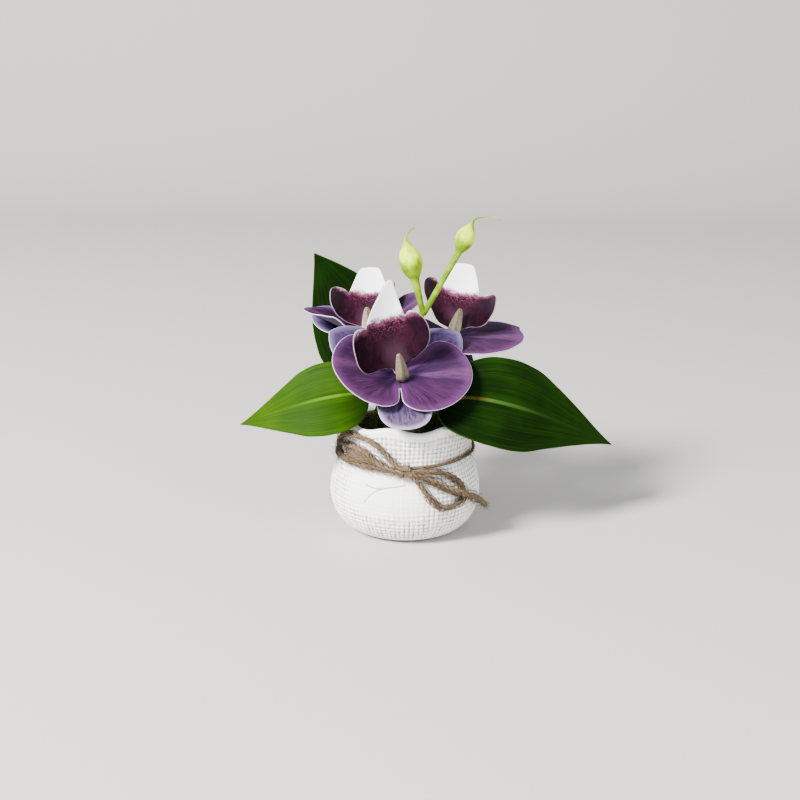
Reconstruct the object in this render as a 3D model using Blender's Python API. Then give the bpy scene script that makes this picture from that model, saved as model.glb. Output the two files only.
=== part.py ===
"""Potted miniature orchid: three butterfly blooms, a forked bud spray and three broad leaves in a small
white sack pot, tied round its neck with a jute bow. Sizes below are in millimetres and are turned into
Blender's metres by MM. The pot stands on z = 0 with its axis on the Z axis, and its front faces -Y."""

import math

import bmesh
import bpy
from mathutils import Matrix, Vector

MM = 0.001

# Clearance between touching pieces, and the two thicknesses of the plant's sheet parts
GAP = 0.3
PETAL_THICKNESS = 0.7
LEAF_THICKNESS = 0.8

# Pot: outer and inner profile as (radius, height), foot to rim and rim to inner floor
POT_OUTER = [(23.0, 0.0), (28.0, 2.2), (32.6, 7.0), (35.2, 13.0), (36.0, 19.5), (35.3, 26.0), (33.4, 32.5),
             (32.0, 37.0), (31.6, 40.5), (32.0, 45.0), (32.8, 50.5), (33.4, 55.3)]
POT_INNER = [(31.0, 56.3), (29.2, 55.0), (28.4, 49.5), (28.1, 41.0), (29.6, 34.0), (32.0, 26.0), (32.6, 19.5),
             (31.6, 13.0), (28.5, 7.5), (22.0, 4.6)]
POT_FLOOR = 4.4
POT_SIDES = 40
RIM_LOBES = 7
RIM_WAVE_HEIGHT = 1.3
RIM_WAVE_RADIUS = 0.5
RIM_WAVE_START = 44.0
RIM_WAVE_FULL = 56.0

# Soil: how high it fills the pot, how far its middle is mounded, and how deep the stems stand in it
SOIL_FLOOR = 4.9
SOIL_TOP = 51.0
SOIL_LEVELS = [SOIL_FLOOR, 8.5, 14.0, 20.0, 27.0, 34.0, 41.0, 46.0, SOIL_TOP]
SOIL_CLEARANCE = 0.55
SOIL_MOUND = 2.4
SOIL_MOUND_RADIUS = 18.0
SOIL_SIDES = 28
STEM_DEPTH = 24.0
HOLE_CLEARANCE = 0.4

# Twine
TWINE_RADIUS = 1.1
TWINE_NECK_HEIGHT = 39.0
TWINE_NECK_TILT = 1.6
TWINE_SIDES_RESOLUTION = 2


def clear_scene():
    for obj in list(bpy.data.objects):
        bpy.data.objects.remove(obj)


def principled(name, colour, roughness):
    """A plain Principled BSDF material."""
    made = bpy.data.materials.new(name)
    made.use_nodes = True
    shader = made.node_tree.nodes["Principled BSDF"]
    shader.inputs["Base Color"].default_value = (*colour, 1.0)
    shader.inputs["Roughness"].default_value = roughness
    shader.inputs["Metallic"].default_value = 0.0
    return made


def add_mesh(name, mesh, material, parent=None):
    obj = bpy.data.objects.new(name, mesh)
    bpy.context.scene.collection.objects.link(obj)
    mesh.materials.append(material)
    mesh.shade_smooth()
    obj.parent = parent
    return obj


def smoothstep(low, high, x):
    t = min(1.0, max(0.0, (x - low) / (high - low)))
    return t * t * (3 - 2 * t)


def eased(points, x):
    """The value at x of the smooth curve through the (x, value) points, with no overshoot at a peak."""
    if x <= points[0][0]:
        return points[0][1]
    for i in range(len(points) - 1):
        (x0, y0), (x1, y1) = points[i], points[i + 1]
        if x > x1:
            continue
        slopes = [rise_at(points, i), rise_at(points, i + 1)]
        h = x1 - x0
        t = (x - x0) / h
        return (y0 * (1 + 2 * t) * (1 - t) ** 2 + slopes[0] * h * t * (1 - t) ** 2
                + y1 * t * t * (3 - 2 * t) + slopes[1] * h * t * t * (t - 1))
    return points[-1][1]


def rise_at(points, i):
    """The slope of the eased curve at its point i: level at a peak, and one-sided at the two ends."""
    last = len(points) - 1

    def secant(k):
        return (points[k + 1][1] - points[k][1]) / (points[k + 1][0] - points[k][0])

    if i == 0:
        return secant(0)
    if i == last:
        return secant(last - 1)
    before, after = secant(i - 1), secant(i)
    return 0.0 if before * after <= 0 else 2 * before * after / (before + after)


def through(points, steps):
    """A smooth open curve through the points, with that many steps from each point to the next."""
    knots = [Vector(p) for p in points]
    knots = [2 * knots[0] - knots[1], *knots, 2 * knots[-1] - knots[-2]]
    curve = []
    for a, b, c, d in zip(knots, knots[1:], knots[2:], knots[3:]):
        for k in range(steps):
            t = k / steps
            curve.append(0.5 * (2 * b + (c - a) * t + (2 * a - 5 * b + 4 * c - d) * t * t
                                + (3 * b - a - 3 * c + d) * t ** 3))
    return curve + [knots[-2]]


def tube(name, points, radii, material, resolution=2):
    """A round tube through the points, in millimetres, with filled ends and a radius at each point."""
    curve = bpy.data.curves.new(name, "CURVE")
    curve.dimensions = "3D"
    curve.bevel_depth = MM
    curve.bevel_resolution = resolution
    curve.use_fill_caps = True
    spline = curve.splines.new("POLY")
    spline.points.add(len(points) - 1)
    for knot, point, radius in zip(spline.points, points, radii):
        knot.co = (*(Vector(point) * MM), 1.0)
        knot.radius = radius
    curve.materials.append(material)
    obj = bpy.data.objects.new(name, curve)
    bpy.context.scene.collection.objects.link(obj)
    return obj


def as_mesh(obj):
    """The object replaced by a mesh object of its evaluated shape, with the curve's caps welded on."""
    graph = bpy.context.evaluated_depsgraph_get()
    mesh = bpy.data.meshes.new_from_object(obj.evaluated_get(graph))
    name, material = obj.name, obj.data.materials[0]
    bpy.data.objects.remove(obj)
    bm = bmesh.new()
    bm.from_mesh(mesh)
    bmesh.ops.remove_doubles(bm, verts=bm.verts, dist=1e-6)
    bmesh.ops.recalc_face_normals(bm, faces=bm.faces)
    bm.to_mesh(mesh)
    bm.free()
    mesh.materials.clear()
    made = add_mesh(name, mesh, material)
    made.name = name
    return made


def union(name, pieces, material):
    """One solid of all the pieces, joined by a Boolean on a collection that is then removed."""
    first, others = pieces[0], pieces[1:]
    group = bpy.data.collections.new(name + "_pieces")
    bpy.context.scene.collection.children.link(group)
    for piece in others:
        bpy.context.scene.collection.objects.unlink(piece)
        group.objects.link(piece)
    join = first.modifiers.new("join", "BOOLEAN")
    join.operation = "UNION"
    join.operand_type = "COLLECTION"
    join.collection = group
    join.solver = "EXACT"
    bpy.context.view_layer.update()
    graph = bpy.context.evaluated_depsgraph_get()
    mesh = bpy.data.meshes.new_from_object(first.evaluated_get(graph))
    for piece in pieces:
        bpy.data.objects.remove(piece)
    bpy.data.collections.remove(group)
    mesh.materials.clear()
    return add_mesh(name, mesh, material)


def solid_from_rows(name, top, bottom, material, parent=None):
    """A closed sheet between two like grids of points, rows by columns, split into triangles alike."""
    bm = bmesh.new()
    rows, columns = len(top), len(top[0])
    faces = [[[bm.verts.new(Vector(p) * MM) for p in row] for row in grid] for grid in (top, bottom)]
    for side, grid in enumerate(faces):
        for i in range(rows - 1):
            for j in range(columns - 1):
                a, b, c, d = grid[i][j], grid[i][j + 1], grid[i + 1][j + 1], grid[i + 1][j]
                for corners in ((a, b, c), (a, c, d)):
                    bm.faces.new(corners if side == 0 else corners[::-1])
    rim = [(i, 0) for i in range(rows)] + [(rows - 1, j) for j in range(1, columns)]
    rim += [(i, columns - 1) for i in range(rows - 2, -1, -1)] + [(0, j) for j in range(columns - 2, 0, -1)]
    for (i, j), (k, m) in zip(rim, rim[1:] + rim[:1]):
        a, b, c, d = faces[0][i][j], faces[0][k][m], faces[1][k][m], faces[1][i][j]
        bm.faces.new((a, b, c))
        bm.faces.new((a, c, d))
    return closed_mesh(name, bm, material, parent)


def closed_mesh(name, bm, material, parent=None):
    bmesh.ops.remove_doubles(bm, verts=bm.verts, dist=1e-6)
    bmesh.ops.recalc_face_normals(bm, faces=bm.faces)
    mesh = bpy.data.meshes.new(name)
    bm.to_mesh(mesh)
    bm.free()
    return add_mesh(name, mesh, material, parent)


def surface_normal(place, u, v, step=0.05):
    """The unit normal of the surface place(u, v)."""
    along = Vector(place(u + step, v)) - Vector(place(u - step, v))
    across = Vector(place(u, v + step)) - Vector(place(u, v - step))
    return along.cross(across).normalized()


def cut_sheet(name, outline, middle, rings, place, thickness, material, parent=None):
    """A closed sheet cut to a flat outline, (x, y) points round its middle, and bent by place(x, y).
    Rings of points run from the middle out to the outline, and both faces are split alike."""
    bm = bmesh.new()
    centre = Vector(middle)
    skins = []
    for side in (0.5, -0.5):
        def lifted(flat, side=side):
            normal = surface_normal(place, flat.x, flat.y)
            return bm.verts.new((Vector(place(flat.x, flat.y)) + normal * side * thickness) * MM)
        hub = lifted(centre)
        skin = [[lifted(centre.lerp(Vector(p), ring)) for p in outline] for ring in rings]
        skins.append(skin)
        for i in range(len(outline)):
            j = (i + 1) % len(outline)
            corners = [(hub, skin[0][i], skin[0][j])]
            for inner, outer in zip(skin, skin[1:]):
                corners += [(inner[i], outer[i], outer[j]), (inner[i], outer[j], inner[j])]
            for triangle in corners:
                bm.faces.new(triangle if side > 0 else triangle[::-1])
    top, under = skins[0][-1], skins[1][-1]
    for i in range(len(outline)):
        j = (i + 1) % len(outline)
        bm.faces.new((top[i], under[i], under[j]))
        bm.faces.new((top[i], under[j], top[j]))
    return closed_mesh(name, bm, material, parent)


# Pot

def rim_wave(angle, height):
    """(outward, upward) shift of the pot's wall: the mouth is gently lobed like a gathered sack."""
    share = smoothstep(RIM_WAVE_START, RIM_WAVE_FULL, height)
    wave = math.cos(RIM_LOBES * angle)
    return RIM_WAVE_RADIUS * wave * share, RIM_WAVE_HEIGHT * wave * share


def pot_radius(height):
    """The pot's outer radius at a height below its rim."""
    return eased([(z, r) for r, z in POT_OUTER], height)


def make_pot(material):
    bm = bmesh.new()
    profile = [(0.0, 0.0), *POT_OUTER, *POT_INNER, (0.0, POT_FLOOR)]
    knots = [bm.verts.new(Vector((r, 0.0, z)) * MM) for r, z in profile]
    edges = [bm.edges.new(pair) for pair in zip(knots, knots[1:])]
    bmesh.ops.spin(bm, geom=knots + edges, axis=(0, 0, 1), cent=(0, 0, 0), angle=2 * math.pi,
                   steps=POT_SIDES, use_merge=True)
    bmesh.ops.remove_doubles(bm, verts=bm.verts, dist=1e-6)
    for vert in bm.verts:
        angle = math.atan2(vert.co.y, vert.co.x)
        outward, upward = rim_wave(angle, vert.co.z / MM)
        vert.co += Vector((math.cos(angle) * outward, math.sin(angle) * outward, upward)) * MM
    bmesh.ops.triangulate(bm, faces=bm.faces)
    return closed_mesh("pot", bm, material)


def inner_radius(height):
    """The radius of the pot's hollow at a height, for what fills it."""
    return eased([(z, r) for r, z in reversed(POT_INNER)], height)


def make_soil(material, stems):
    """The fill up to just under the mouth, with a plain hole for each stem that stands in it."""
    bm = bmesh.new()
    profile = [(0.0, SOIL_FLOOR)]
    for z in SOIL_LEVELS:
        inward = RIM_WAVE_RADIUS * smoothstep(RIM_WAVE_START, RIM_WAVE_FULL, z)
        profile.append((inner_radius(z) - inward - SOIL_CLEARANCE, z))
    profile += [(SOIL_MOUND_RADIUS, SOIL_TOP + 0.6 * SOIL_MOUND), (0.0, SOIL_TOP + SOIL_MOUND)]
    knots = [bm.verts.new(Vector((r, 0.0, z)) * MM) for r, z in profile]
    edges = [bm.edges.new(pair) for pair in zip(knots, knots[1:])]
    bmesh.ops.spin(bm, geom=knots + edges, axis=(0, 0, 1), cent=(0, 0, 0), angle=2 * math.pi,
                   steps=SOIL_SIDES, use_merge=True)
    soil = closed_mesh("soil", bm, material)
    for name, (x, y, radius) in stems.items():
        low, high = SOIL_TOP - STEM_DEPTH - GAP, SOIL_TOP + 10.0
        cutter_bm = bmesh.new()
        bmesh.ops.create_cone(cutter_bm, cap_ends=True, segments=10, radius1=(radius + HOLE_CLEARANCE) * MM,
                              radius2=(radius + HOLE_CLEARANCE) * MM, depth=(high - low) * MM,
                              matrix=Matrix.Translation(Vector((x, y, (low + high) / 2)) * MM))
        cutter = closed_mesh(name + "_hole", cutter_bm, material)
        cutter.hide_render = True
        cutter.display_type = "WIRE"
        hole = soil.modifiers.new(name, "BOOLEAN")
        hole.operation = "DIFFERENCE"
        hole.object = cutter
        hole.solver = "EXACT"
    return soil


# Twine

def on_pot(turn, height, lift, radius):
    """The middle of a strand of that radius on the pot's outer wall, lifted off its seat by lift. Turn is in
    degrees to the right of the pot's front."""
    angle = math.radians(turn)
    reach = pot_radius(height) + GAP + radius + lift
    return reach * math.sin(angle), -reach * math.cos(angle), height


# Routes of the bow over the pot, as (turn, height, lift), and the radius of each strand: the twine is pulled
# thin round the neck and comes loose towards its ends
OVER = 2.2 * TWINE_RADIUS
BOW_ROUTES = {
    "left_loop": [(-2, 38.8, OVER), (-9, 41.6, 1.8), (-18, 47.2, 0.6), (-30, 51.4, 0.2), (-44, 52.6, 0.2),
                  (-58, 50.6, 0.5), (-67, 45.8, 0.8), (-60, 40.9, 1.4), (-46, 39.4, 2.0), (-34, 39.2, 2.2),
                  (-20, 38.8, 2.2), (-6, 37.9, OVER)],
    "right_loop": [(4, 38.2, OVER), (18, 37.6, 1.8), (31, 35.8, 0.8), (40.5, 32.6, 0.4), (47, 28.6, 0.0),
                   (48.6, 24.6, 0.0), (44.5, 21.4, 0.0), (37, 19.9, 0.0), (29, 20.3, 0.0), (22, 22.9, 0.2),
                   (16, 27.0, 0.6), (10.5, 32.0, 1.4), (4, 36.8, OVER)],
    "right_tail": [(3, 37.6, OVER + 0.4), (12, 35.6, 1.6), (21, 33.0, 0.8), (32, 29.2, 0.4), (42, 26.2, 1.6),
                   (49, 24.2, 2.6), (58, 21.0, 2.6), (64, 18.2, 2.8), (69, 15.6, 3.6)],
    "left_tail": [(-3, 37.6, OVER), (-12, 38.9, 2.2), (-24, 41.6, 1.4), (-34, 45.0, 0.3), (-46, 46.6, 0.2),
                  (-58, 46.4, 0.8)],
}
STRAND_RADII = {"neck": 0.85, "left_loop": TWINE_RADIUS, "right_loop": 1.15, "right_tail": 1.5, "left_tail": 1.3}
KNOT_RADII = (3.4, 2.3, 3.0)


def make_twine(material):
    """The turn round the pot's neck, the knot, two loops and two loose ends, as one piece of twine."""
    pieces = []
    ring_steps = 48
    radius = STRAND_RADII["neck"]
    ring = []
    for k in range(ring_steps):
        turn = 360 * k / ring_steps
        height = TWINE_NECK_HEIGHT + TWINE_NECK_TILT * math.sin(math.radians(turn))
        ring.append(on_pot(turn, height, 0.0, radius))
    band = tube("twine_band", ring, [radius] * ring_steps, material, TWINE_SIDES_RESOLUTION)
    band.data.splines[0].use_cyclic_u = True
    pieces.append(as_mesh(band))
    for name, route in BOW_ROUTES.items():
        radius = STRAND_RADII[name]
        points = [on_pot(*stop, radius) for stop in through(route, 2)]
        pieces.append(as_mesh(tube(name, points, [radius] * len(points), material, TWINE_SIDES_RESOLUTION)))
    knot_bm = bmesh.new()
    x, y, z = on_pot(0, TWINE_NECK_HEIGHT - 0.8, 1.5, TWINE_RADIUS)
    bmesh.ops.create_uvsphere(knot_bm, u_segments=12, v_segments=8, radius=1.0)
    for vert in knot_bm.verts:
        vert.co = Vector((x + vert.co.x * KNOT_RADII[0], y + vert.co.y * KNOT_RADII[1],
                          z + vert.co.z * KNOT_RADII[2])) * MM
    pieces.append(closed_mesh("knot", knot_bm, material))
    return union("twine", pieces, material)


# Stems

def stem_path(top, way_out, foot, bow):
    """From a bloom's back or a leaf's base, out along way_out, then straight down into the soil at foot."""
    start = Vector(top)
    bottom = Vector((foot[0], foot[1], SOIL_TOP - STEM_DEPTH))
    mouth = Vector((foot[0], foot[1], SOIL_TOP + SOIL_MOUND + 1.0))
    first = start + Vector(way_out) * bow
    curve = through([start, first, first.lerp(mouth, 0.6) + Vector((0, 0, 1.0)), mouth + Vector((0, 0, 3.0))], 3)
    return curve + [mouth, mouth.lerp(bottom, 0.5), bottom]


# Leaves

LEAF_OUTLINE = [(0.0, 0.10), (0.02, 0.42), (0.07, 0.68), (0.15, 0.87), (0.27, 0.985), (0.36, 1.0), (0.48, 0.93),
                (0.62, 0.69), (0.76, 0.42), (0.88, 0.19), (0.96, 0.06), (1.0, 0.012)]
BROAD_OUTLINE = [*LEAF_OUTLINE[:7], (0.62, 0.77), (0.76, 0.52), (0.88, 0.27), (0.96, 0.095), (1.0, 0.012)]
LEAF_ROWS = [0.0, 0.02, 0.06, 0.13, 0.22, 0.32, 0.43, 0.54, 0.66, 0.78, 0.9, 1.0]
LEAF_COLUMNS = 6

# Each leaf: midrib as four control points of a Bezier curve, which way its left-hand half points at base
# and tip, half width, fold (rise of the halves per width), droop of the margins, how far the base of its
# lower half reaches back past the stalk, and the foot of its stalk
LEAVES = {
    "leaf_left": {
        "midrib": [(-17.0, -17.0, 70.4), (-36.0, -25.0, 72.6), (-60.0, -19.0, 61.6), (-78.6, -9.0, 52.0)],
        "side": [(-0.10, -0.50, -0.86), (0.05, -0.60, -0.80)], "half_width": 17.8, "fold": 0.14, "droop": 0.10,
        "outline": LEAF_OUTLINE, "lobe": 0.0,
        "foot": (-14.5, -7.0), "stalk_out": (0.72, 0.25, -0.64), "stalk_bow": 7.0,
    },
    "leaf_right": {
        "midrib": [(20.5, -20.5, 69.6), (43.0, -26.0, 73.3), (74.0, -7.5, 55.0), (101.5, 14.0, 37.4)],
        "side": [(0.12, 0.58, 0.81), (0.34, 0.30, 0.89)], "half_width": 21.6, "fold": 0.06, "droop": 0.10,
        "outline": LEAF_OUTLINE, "lobe": 7.0,
        "foot": (13.5, -8.5), "stalk_out": (-0.60, 0.60, -0.53), "stalk_bow": 6.0,
    },
    "leaf_back": {
        "midrib": [(-7.0, 26.5, 63.0), (-23.0, 32.0, 84.0), (-31.5, 36.0, 106.0), (-46.0, 37.0, 126.6)],
        "side": [(-0.85, -0.03, -0.50), (-0.80, 0.02, -0.58)], "half_width": 23.6, "fold": 0.12, "droop": 0.08,
        "outline": BROAD_OUTLINE, "lobe": 0.0,
        "foot": (-5.0, 15.5), "stalk_out": (0.35, -0.40, -0.85), "stalk_bow": 5.0,
    },
}
STALK_RADIUS = 1.15
LOBE_ENDS = (0.0, 0.45)


def bezier(control, t):
    a, b, c, d = (Vector(p) for p in control)
    s = 1 - t
    return a * s ** 3 + b * (3 * s * s * t) + c * (3 * s * t * t) + d * t ** 3


def bezier_slope(control, t):
    a, b, c, d = (Vector(p) for p in control)
    s = 1 - t
    return ((b - a) * s * s + (c - b) * (2 * s * t) + (d - c) * t * t).normalized()


def leaf_point(leaf, t, v):
    """(point, normal) of the leaf's middle surface, t from base to tip and v from -1 to 1 across."""
    along = bezier_slope(leaf["midrib"], t)
    side = Vector(leaf["side"][0]).lerp(Vector(leaf["side"][1]), t)
    side = (side - along * side.dot(along)).normalized()
    up = side.cross(along).normalized()
    width = leaf["half_width"] * eased(leaf["outline"], t)
    across = v * width
    rise = leaf["fold"] * abs(across) - leaf["droop"] * across * across / leaf["half_width"]
    back = leaf["lobe"] * max(0.0, -v) ** 1.5 * (1 - smoothstep(*LOBE_ENDS, t))
    return bezier(leaf["midrib"], t) + side * across + up * rise - along * back, up


def make_leaf(name, leaf, material):
    """The blade with its stalk, one moulded piece."""
    sheets = []
    for side in (0.5, -0.5):
        sheets.append([])
        for t in LEAF_ROWS:
            row = []
            for k in range(LEAF_COLUMNS + 1):
                point, up = leaf_point(leaf, t, 2 * k / LEAF_COLUMNS - 1)
                row.append(point + up * side * LEAF_THICKNESS)
            sheets[-1].append(row)
    blade = solid_from_rows(name + "_blade", sheets[0], sheets[1], material)
    joint, up = leaf_point(leaf, 0.10, 0.0)
    start, under = leaf_point(leaf, 0.02, 0.0)
    path = stem_path(start - under * 0.6, leaf["stalk_out"], leaf["foot"], leaf["stalk_bow"])
    path = [joint - up * 0.5, *path]
    radii = [0.7] + [STALK_RADIUS] * (len(path) - 1)
    stalk = as_mesh(tube(name + "_stalk", path, radii, material, 2))
    return union(name, [blade, stalk], material)


# Blooms

# Flat outline of one petal and of half a lip, (x, y) from the bloom's centre, with +Y towards the lip
PETAL_OUTLINE = [(0.4, -8.0), (0.6, -12.5), (1.3, -16.9), (5.0, -20.4), (12.0, -21.5), (20.6, -18.8),
                 (27.6, -13.4), (32.4, -6.6), (33.8, 1.0), (31.6, 8.6), (27.0, 14.6), (21.4, 17.4),
                 (16.0, 16.4), (10.4, 11.6), (5.6, 7.2), (2.4, 4.6)]
LIP_OUTLINE = [(2.0, 0.2), (2.7, 3.2), (6.6, 4.6), (13.0, 6.0), (19.0, 9.6), (22.4, 15.8), (22.0, 22.0),
               (18.6, 26.6), (14.2, 28.0), (10.3, 26.0)]
LIP_KITE = [(10.3, 26.0), (6.8, 33.2), (2.9, 41.0), (1.6, 43.4), (0.0, 44.0)]
BLUNT_KITE = [(10.3, 26.0), (8.2, 33.2), (5.8, 40.4), (4.2, 43.0), (0.0, 43.8)]
LOBE_REACH = (7.0, 16.0)
LIP_MIDDLE = (0.0, 17.0)
SEPAL_HALF_WIDTH = 12.4
SEPAL_OUTLINE = [(0.16, 0.55), (0.30, 0.80), (0.45, 0.96), (0.58, 1.0), (0.72, 0.89), (0.86, 0.60), (0.95, 0.30),
                 (1.0, 0.0)]
LOW_SEPAL_OUTLINE = [(0.16, 0.55), (0.30, 0.80), (0.45, 0.96), (0.60, 1.0), (0.77, 0.93), (0.90, 0.72),
                     (0.97, 0.42), (1.0, 0.0)]
SEPAL_TURNS = (-90.0, 34.0, 144.0)
SEPAL_VALLEY = 6.4
LAYER_REACH = 42.0
LAYER_RINGS = (0.2, 0.56, 1.0)
LIP_RINGS = (0.4, 0.75, 1.0)

# A strip of a layer starts to climb and has all its slope at these distances from the centre, and then levels
# out again by its recurve share
LAYER_BEND = (1.0, 12.0)
PETAL_RECURVE = 0.8
SEPAL_RECURVE = 0.4
PETAL_TIP_BEND = (3.5, 16.0)

# The lip: where it is bent up from the centre and again towards its tip, where it stops being rolled like a
# gutter, how much flatter it is there, and where its tip leans over
LIP_FIRST_BEND = (0.0, 3.0)
LIP_SECOND_BEND = (16.0, 36.0)
LIP_UNROLL = (27.0, 42.0)
LIP_UNROLL_RADIUS = 26.0
LIP_LEAN = (26.0, 46.0)

# Height of each layer's middle over the bloom's centre
SEPAL_HEIGHT = 0.0
PETAL_HEIGHT = SEPAL_HEIGHT + PETAL_THICKNESS + GAP + 0.1
LIP_HEIGHT = PETAL_HEIGHT + PETAL_THICKNESS + GAP + 0.4

# Column: (share of its length, half width, height of its ridge), and the foot that it stands on the petals with
COLUMN_LENGTH = 12.5
COLUMN_LIFT = 1.2
COLUMN_OPENING = 12.0
COLUMN_EDGE = 0.35
COLUMN_SECTIONS = [(0.0, 3.3, 1.0), (0.3, 3.0, 1.6), (0.65, 2.2, 1.4), (0.9, 1.4, 0.9), (1.0, 0.7, 0.45)]
COLUMN_FOOT_HALF_WIDTH = 2.4
COLUMN_FOOT_RIDGE = 0.8
COLUMN_FOOT_HEIGHT = PETAL_HEIGHT + PETAL_THICKNESS / 2 + GAP + 0.35

# Each bloom: where its centre is, the azimuth and elevation that it faces (0 is the pot's front, right is
# positive), its roll, how far each layer's lobes rise, in degrees, how far each petal is tipped about its own
# length, as a slope, where its column stands and turns to, and the foot of its stem
BLOOMS = {
    "front": {
        "centre": (-3.5, -22.0, 80.2), "azimuth": 6.0, "elevation": 46.5, "roll": -1.5,
        "petal_rise": (32.0, 4.0), "petal_tip": (0.0, 0.0), "sepal_rise": (6.0, -2.0, 18.0), "sepal_turn": 6.0,
        "sepal_lengths": (30.0, 39.0, 38.2), "lip_rise": (44.0, 48.0), "lip_turn": 22.0,
        "kite": LIP_KITE, "lobe_shift": ((-2.6, -0.8), (-3.0, 0.0)),
        "lip_roll": (25.0, 19.5), "lip_length": 0.98, "tip_lean": 6.0, "column_base": -3.8,
        "column_turn": 22.0, "foot": (-2.0, -8.0), "stem_bow": 8.0,
    },
    "left": {
        "centre": (-18.2, 9.0, 91.7), "azimuth": -18.0, "elevation": 77.0, "roll": 11.0,
        "petal_rise": (37.0, 53.0), "petal_tip": (-0.3, 0.0), "sepal_rise": (-90.0, 38.0, 12.0), "sepal_turn": 0.0,
        "sepal_lengths": (28.0, 22.0, 37.0), "lip_rise": (33.0, 50.0), "lip_turn": 4.0,
        "kite": BLUNT_KITE, "lobe_shift": ((0.0, 0.0), (0.0, 0.0)),
        "lip_roll": (19.5, 13.0), "lip_length": 0.82, "tip_lean": 0.0, "column_base": -3.2,
        "column_turn": 10.0, "foot": (-8.0, 7.0), "stem_bow": 9.0,
    },
    "right": {
        "centre": (22.4, 12.5, 90.6), "azimuth": 20.0, "elevation": 77.0, "roll": -27.5,
        "petal_rise": (-5.0, 10.0), "petal_tip": (0.0, 0.0), "sepal_rise": (-75.0, 2.0, -70.0), "sepal_turn": 0.0,
        "sepal_lengths": (30.0, 37.0, 28.0), "lip_rise": (30.0, 62.0), "lip_turn": 1.0,
        "kite": BLUNT_KITE, "lobe_shift": ((0.5, 5.5), (0.0, -3.0)),
        "lip_roll": (20.0, 20.0), "lip_length": 0.90, "tip_lean": 0.0, "column_base": -1.4,
        "column_turn": -10.0, "foot": (12.0, 8.0), "stem_bow": 9.0,
    },
}
STEM_RADIUS = 1.3
RECEPTACLE_RADIUS = 1.4
RECEPTACLE_CLEARANCE = 0.55


def bloom_frame(bloom):
    """Local Z is the way that the bloom faces and local Y points to its lip."""
    turn = Matrix.Rotation(math.radians(bloom["azimuth"]), 4, "Z")
    tilt = Matrix.Rotation(math.radians(90.0 - bloom["elevation"]), 4, "X")
    roll = Matrix.Rotation(math.radians(bloom["roll"]), 4, "Z")
    return Matrix.Translation(Vector(bloom["centre"]) * MM) @ turn @ tilt @ roll


def bent_distance(distance, rise, recurve):
    """(outward, upward) reach of a strip of that length that climbs by its rise, in degrees, and levels out
    again near its end by the recurve share."""
    steps = 8
    out = up = 0.0
    for k in range(steps):
        r = distance * (k + 0.5) / steps
        slope = math.radians(rise) * smoothstep(*LAYER_BEND, r) * (1 - recurve * (r / LAYER_REACH) ** 2)
        out += math.cos(slope) * distance / steps
        up += math.sin(slope) * distance / steps
    return out, up


def petal_place(bloom):
    """Petals are cupped: each ray from the centre climbs by itself."""
    left, right = bloom["petal_rise"]

    def place(x, y):
        radius = max(math.hypot(x, y), 1e-6)
        share = 0.5 + 0.5 * x / radius
        out, up = bent_distance(radius, left + (right - left) * share, PETAL_RECURVE)
        tip = bloom["petal_tip"][0 if x < 0 else 1] * smoothstep(*PETAL_TIP_BEND, abs(x))
        return x * out / radius, y * out / radius, PETAL_HEIGHT + up + tip * y

    return place


def sepal_place(bloom):
    """Sepals are bent: each lobe climbs or hangs along its own midline and keeps its width."""

    def place(x, y):
        radius = max(math.hypot(x, y), 1e-6)
        total, weight = Vector((0.0, 0.0, 0.0)), 0.0
        for turn, rise in zip(SEPAL_TURNS, bloom["sepal_rise"]):
            angle = math.radians(turn + bloom["sepal_turn"])
            along = x * math.cos(angle) + y * math.sin(angle)
            across = y * math.cos(angle) - x * math.sin(angle)
            out, up = bent_distance(max(along, 0.0), rise, SEPAL_RECURVE)
            out += min(along, 0.0)
            share = max(0.0, along / radius + 0.3) ** 5 + 1e-6
            total += share * Vector((out * math.cos(angle) - across * math.sin(angle),
                                     out * math.sin(angle) + across * math.cos(angle), SEPAL_HEIGHT + up))
            weight += share
        return tuple(total / weight)

    return place


def lip_place(bloom):
    """The lip is rolled like a gutter and bent up from the centre, and its tip flattens and leans over."""
    turn = math.radians(bloom["lip_turn"])
    cup, tip = bloom["lip_rise"]

    def slope(v):
        return math.radians(cup * smoothstep(*LIP_FIRST_BEND, v) + (tip - cup) * smoothstep(*LIP_SECOND_BEND, v))

    def place(x, y):
        shift = bloom["lobe_shift"][0 if x < 0 else 1]
        share = smoothstep(*LOBE_REACH, abs(x))
        x += shift[0] * share
        reach = (y + shift[1] * share) * bloom["lip_length"]
        steps = 10
        ahead, up = 0.0, LIP_HEIGHT
        for k in range(steps):
            rise = slope(reach * (k + 0.5) / steps)
            ahead += math.cos(rise) * reach / steps
            up += math.sin(rise) * reach / steps
        radius = bloom["lip_roll"][0 if x < 0 else 1] + LIP_UNROLL_RADIUS * smoothstep(*LIP_UNROLL, reach)
        across = radius * math.sin(x / radius) + bloom["tip_lean"] * smoothstep(*LIP_LEAN, reach)
        lift = radius * (1 - math.cos(x / radius))
        ahead -= math.sin(slope(reach)) * lift
        up += math.cos(slope(reach)) * lift
        return (across * math.cos(turn) - ahead * math.sin(turn),
                across * math.sin(turn) + ahead * math.cos(turn), up)

    return place


def mirrored(half):
    """A whole outline from its right half, which runs from the bottom to the top."""
    return half + [(-x, y) for x, y in reversed(half) if abs(x) > 1e-6]


def petal_outline(steps):
    """Two broad petals in one sheet, split between them at the bottom and at the top."""
    return mirrored([tuple(p)[:2] for p in through([(*p, 0.0) for p in PETAL_OUTLINE], steps)])


def lip_outline(bloom, steps):
    """Two side lobes and the kite-shaped middle lobe."""
    lobe = through([(*p, 0.0) for p in LIP_OUTLINE], steps)
    kite = through([(*p, 0.0) for p in bloom["kite"]], steps)
    return mirrored([tuple(p)[:2] for p in lobe[:-1] + kite])


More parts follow.
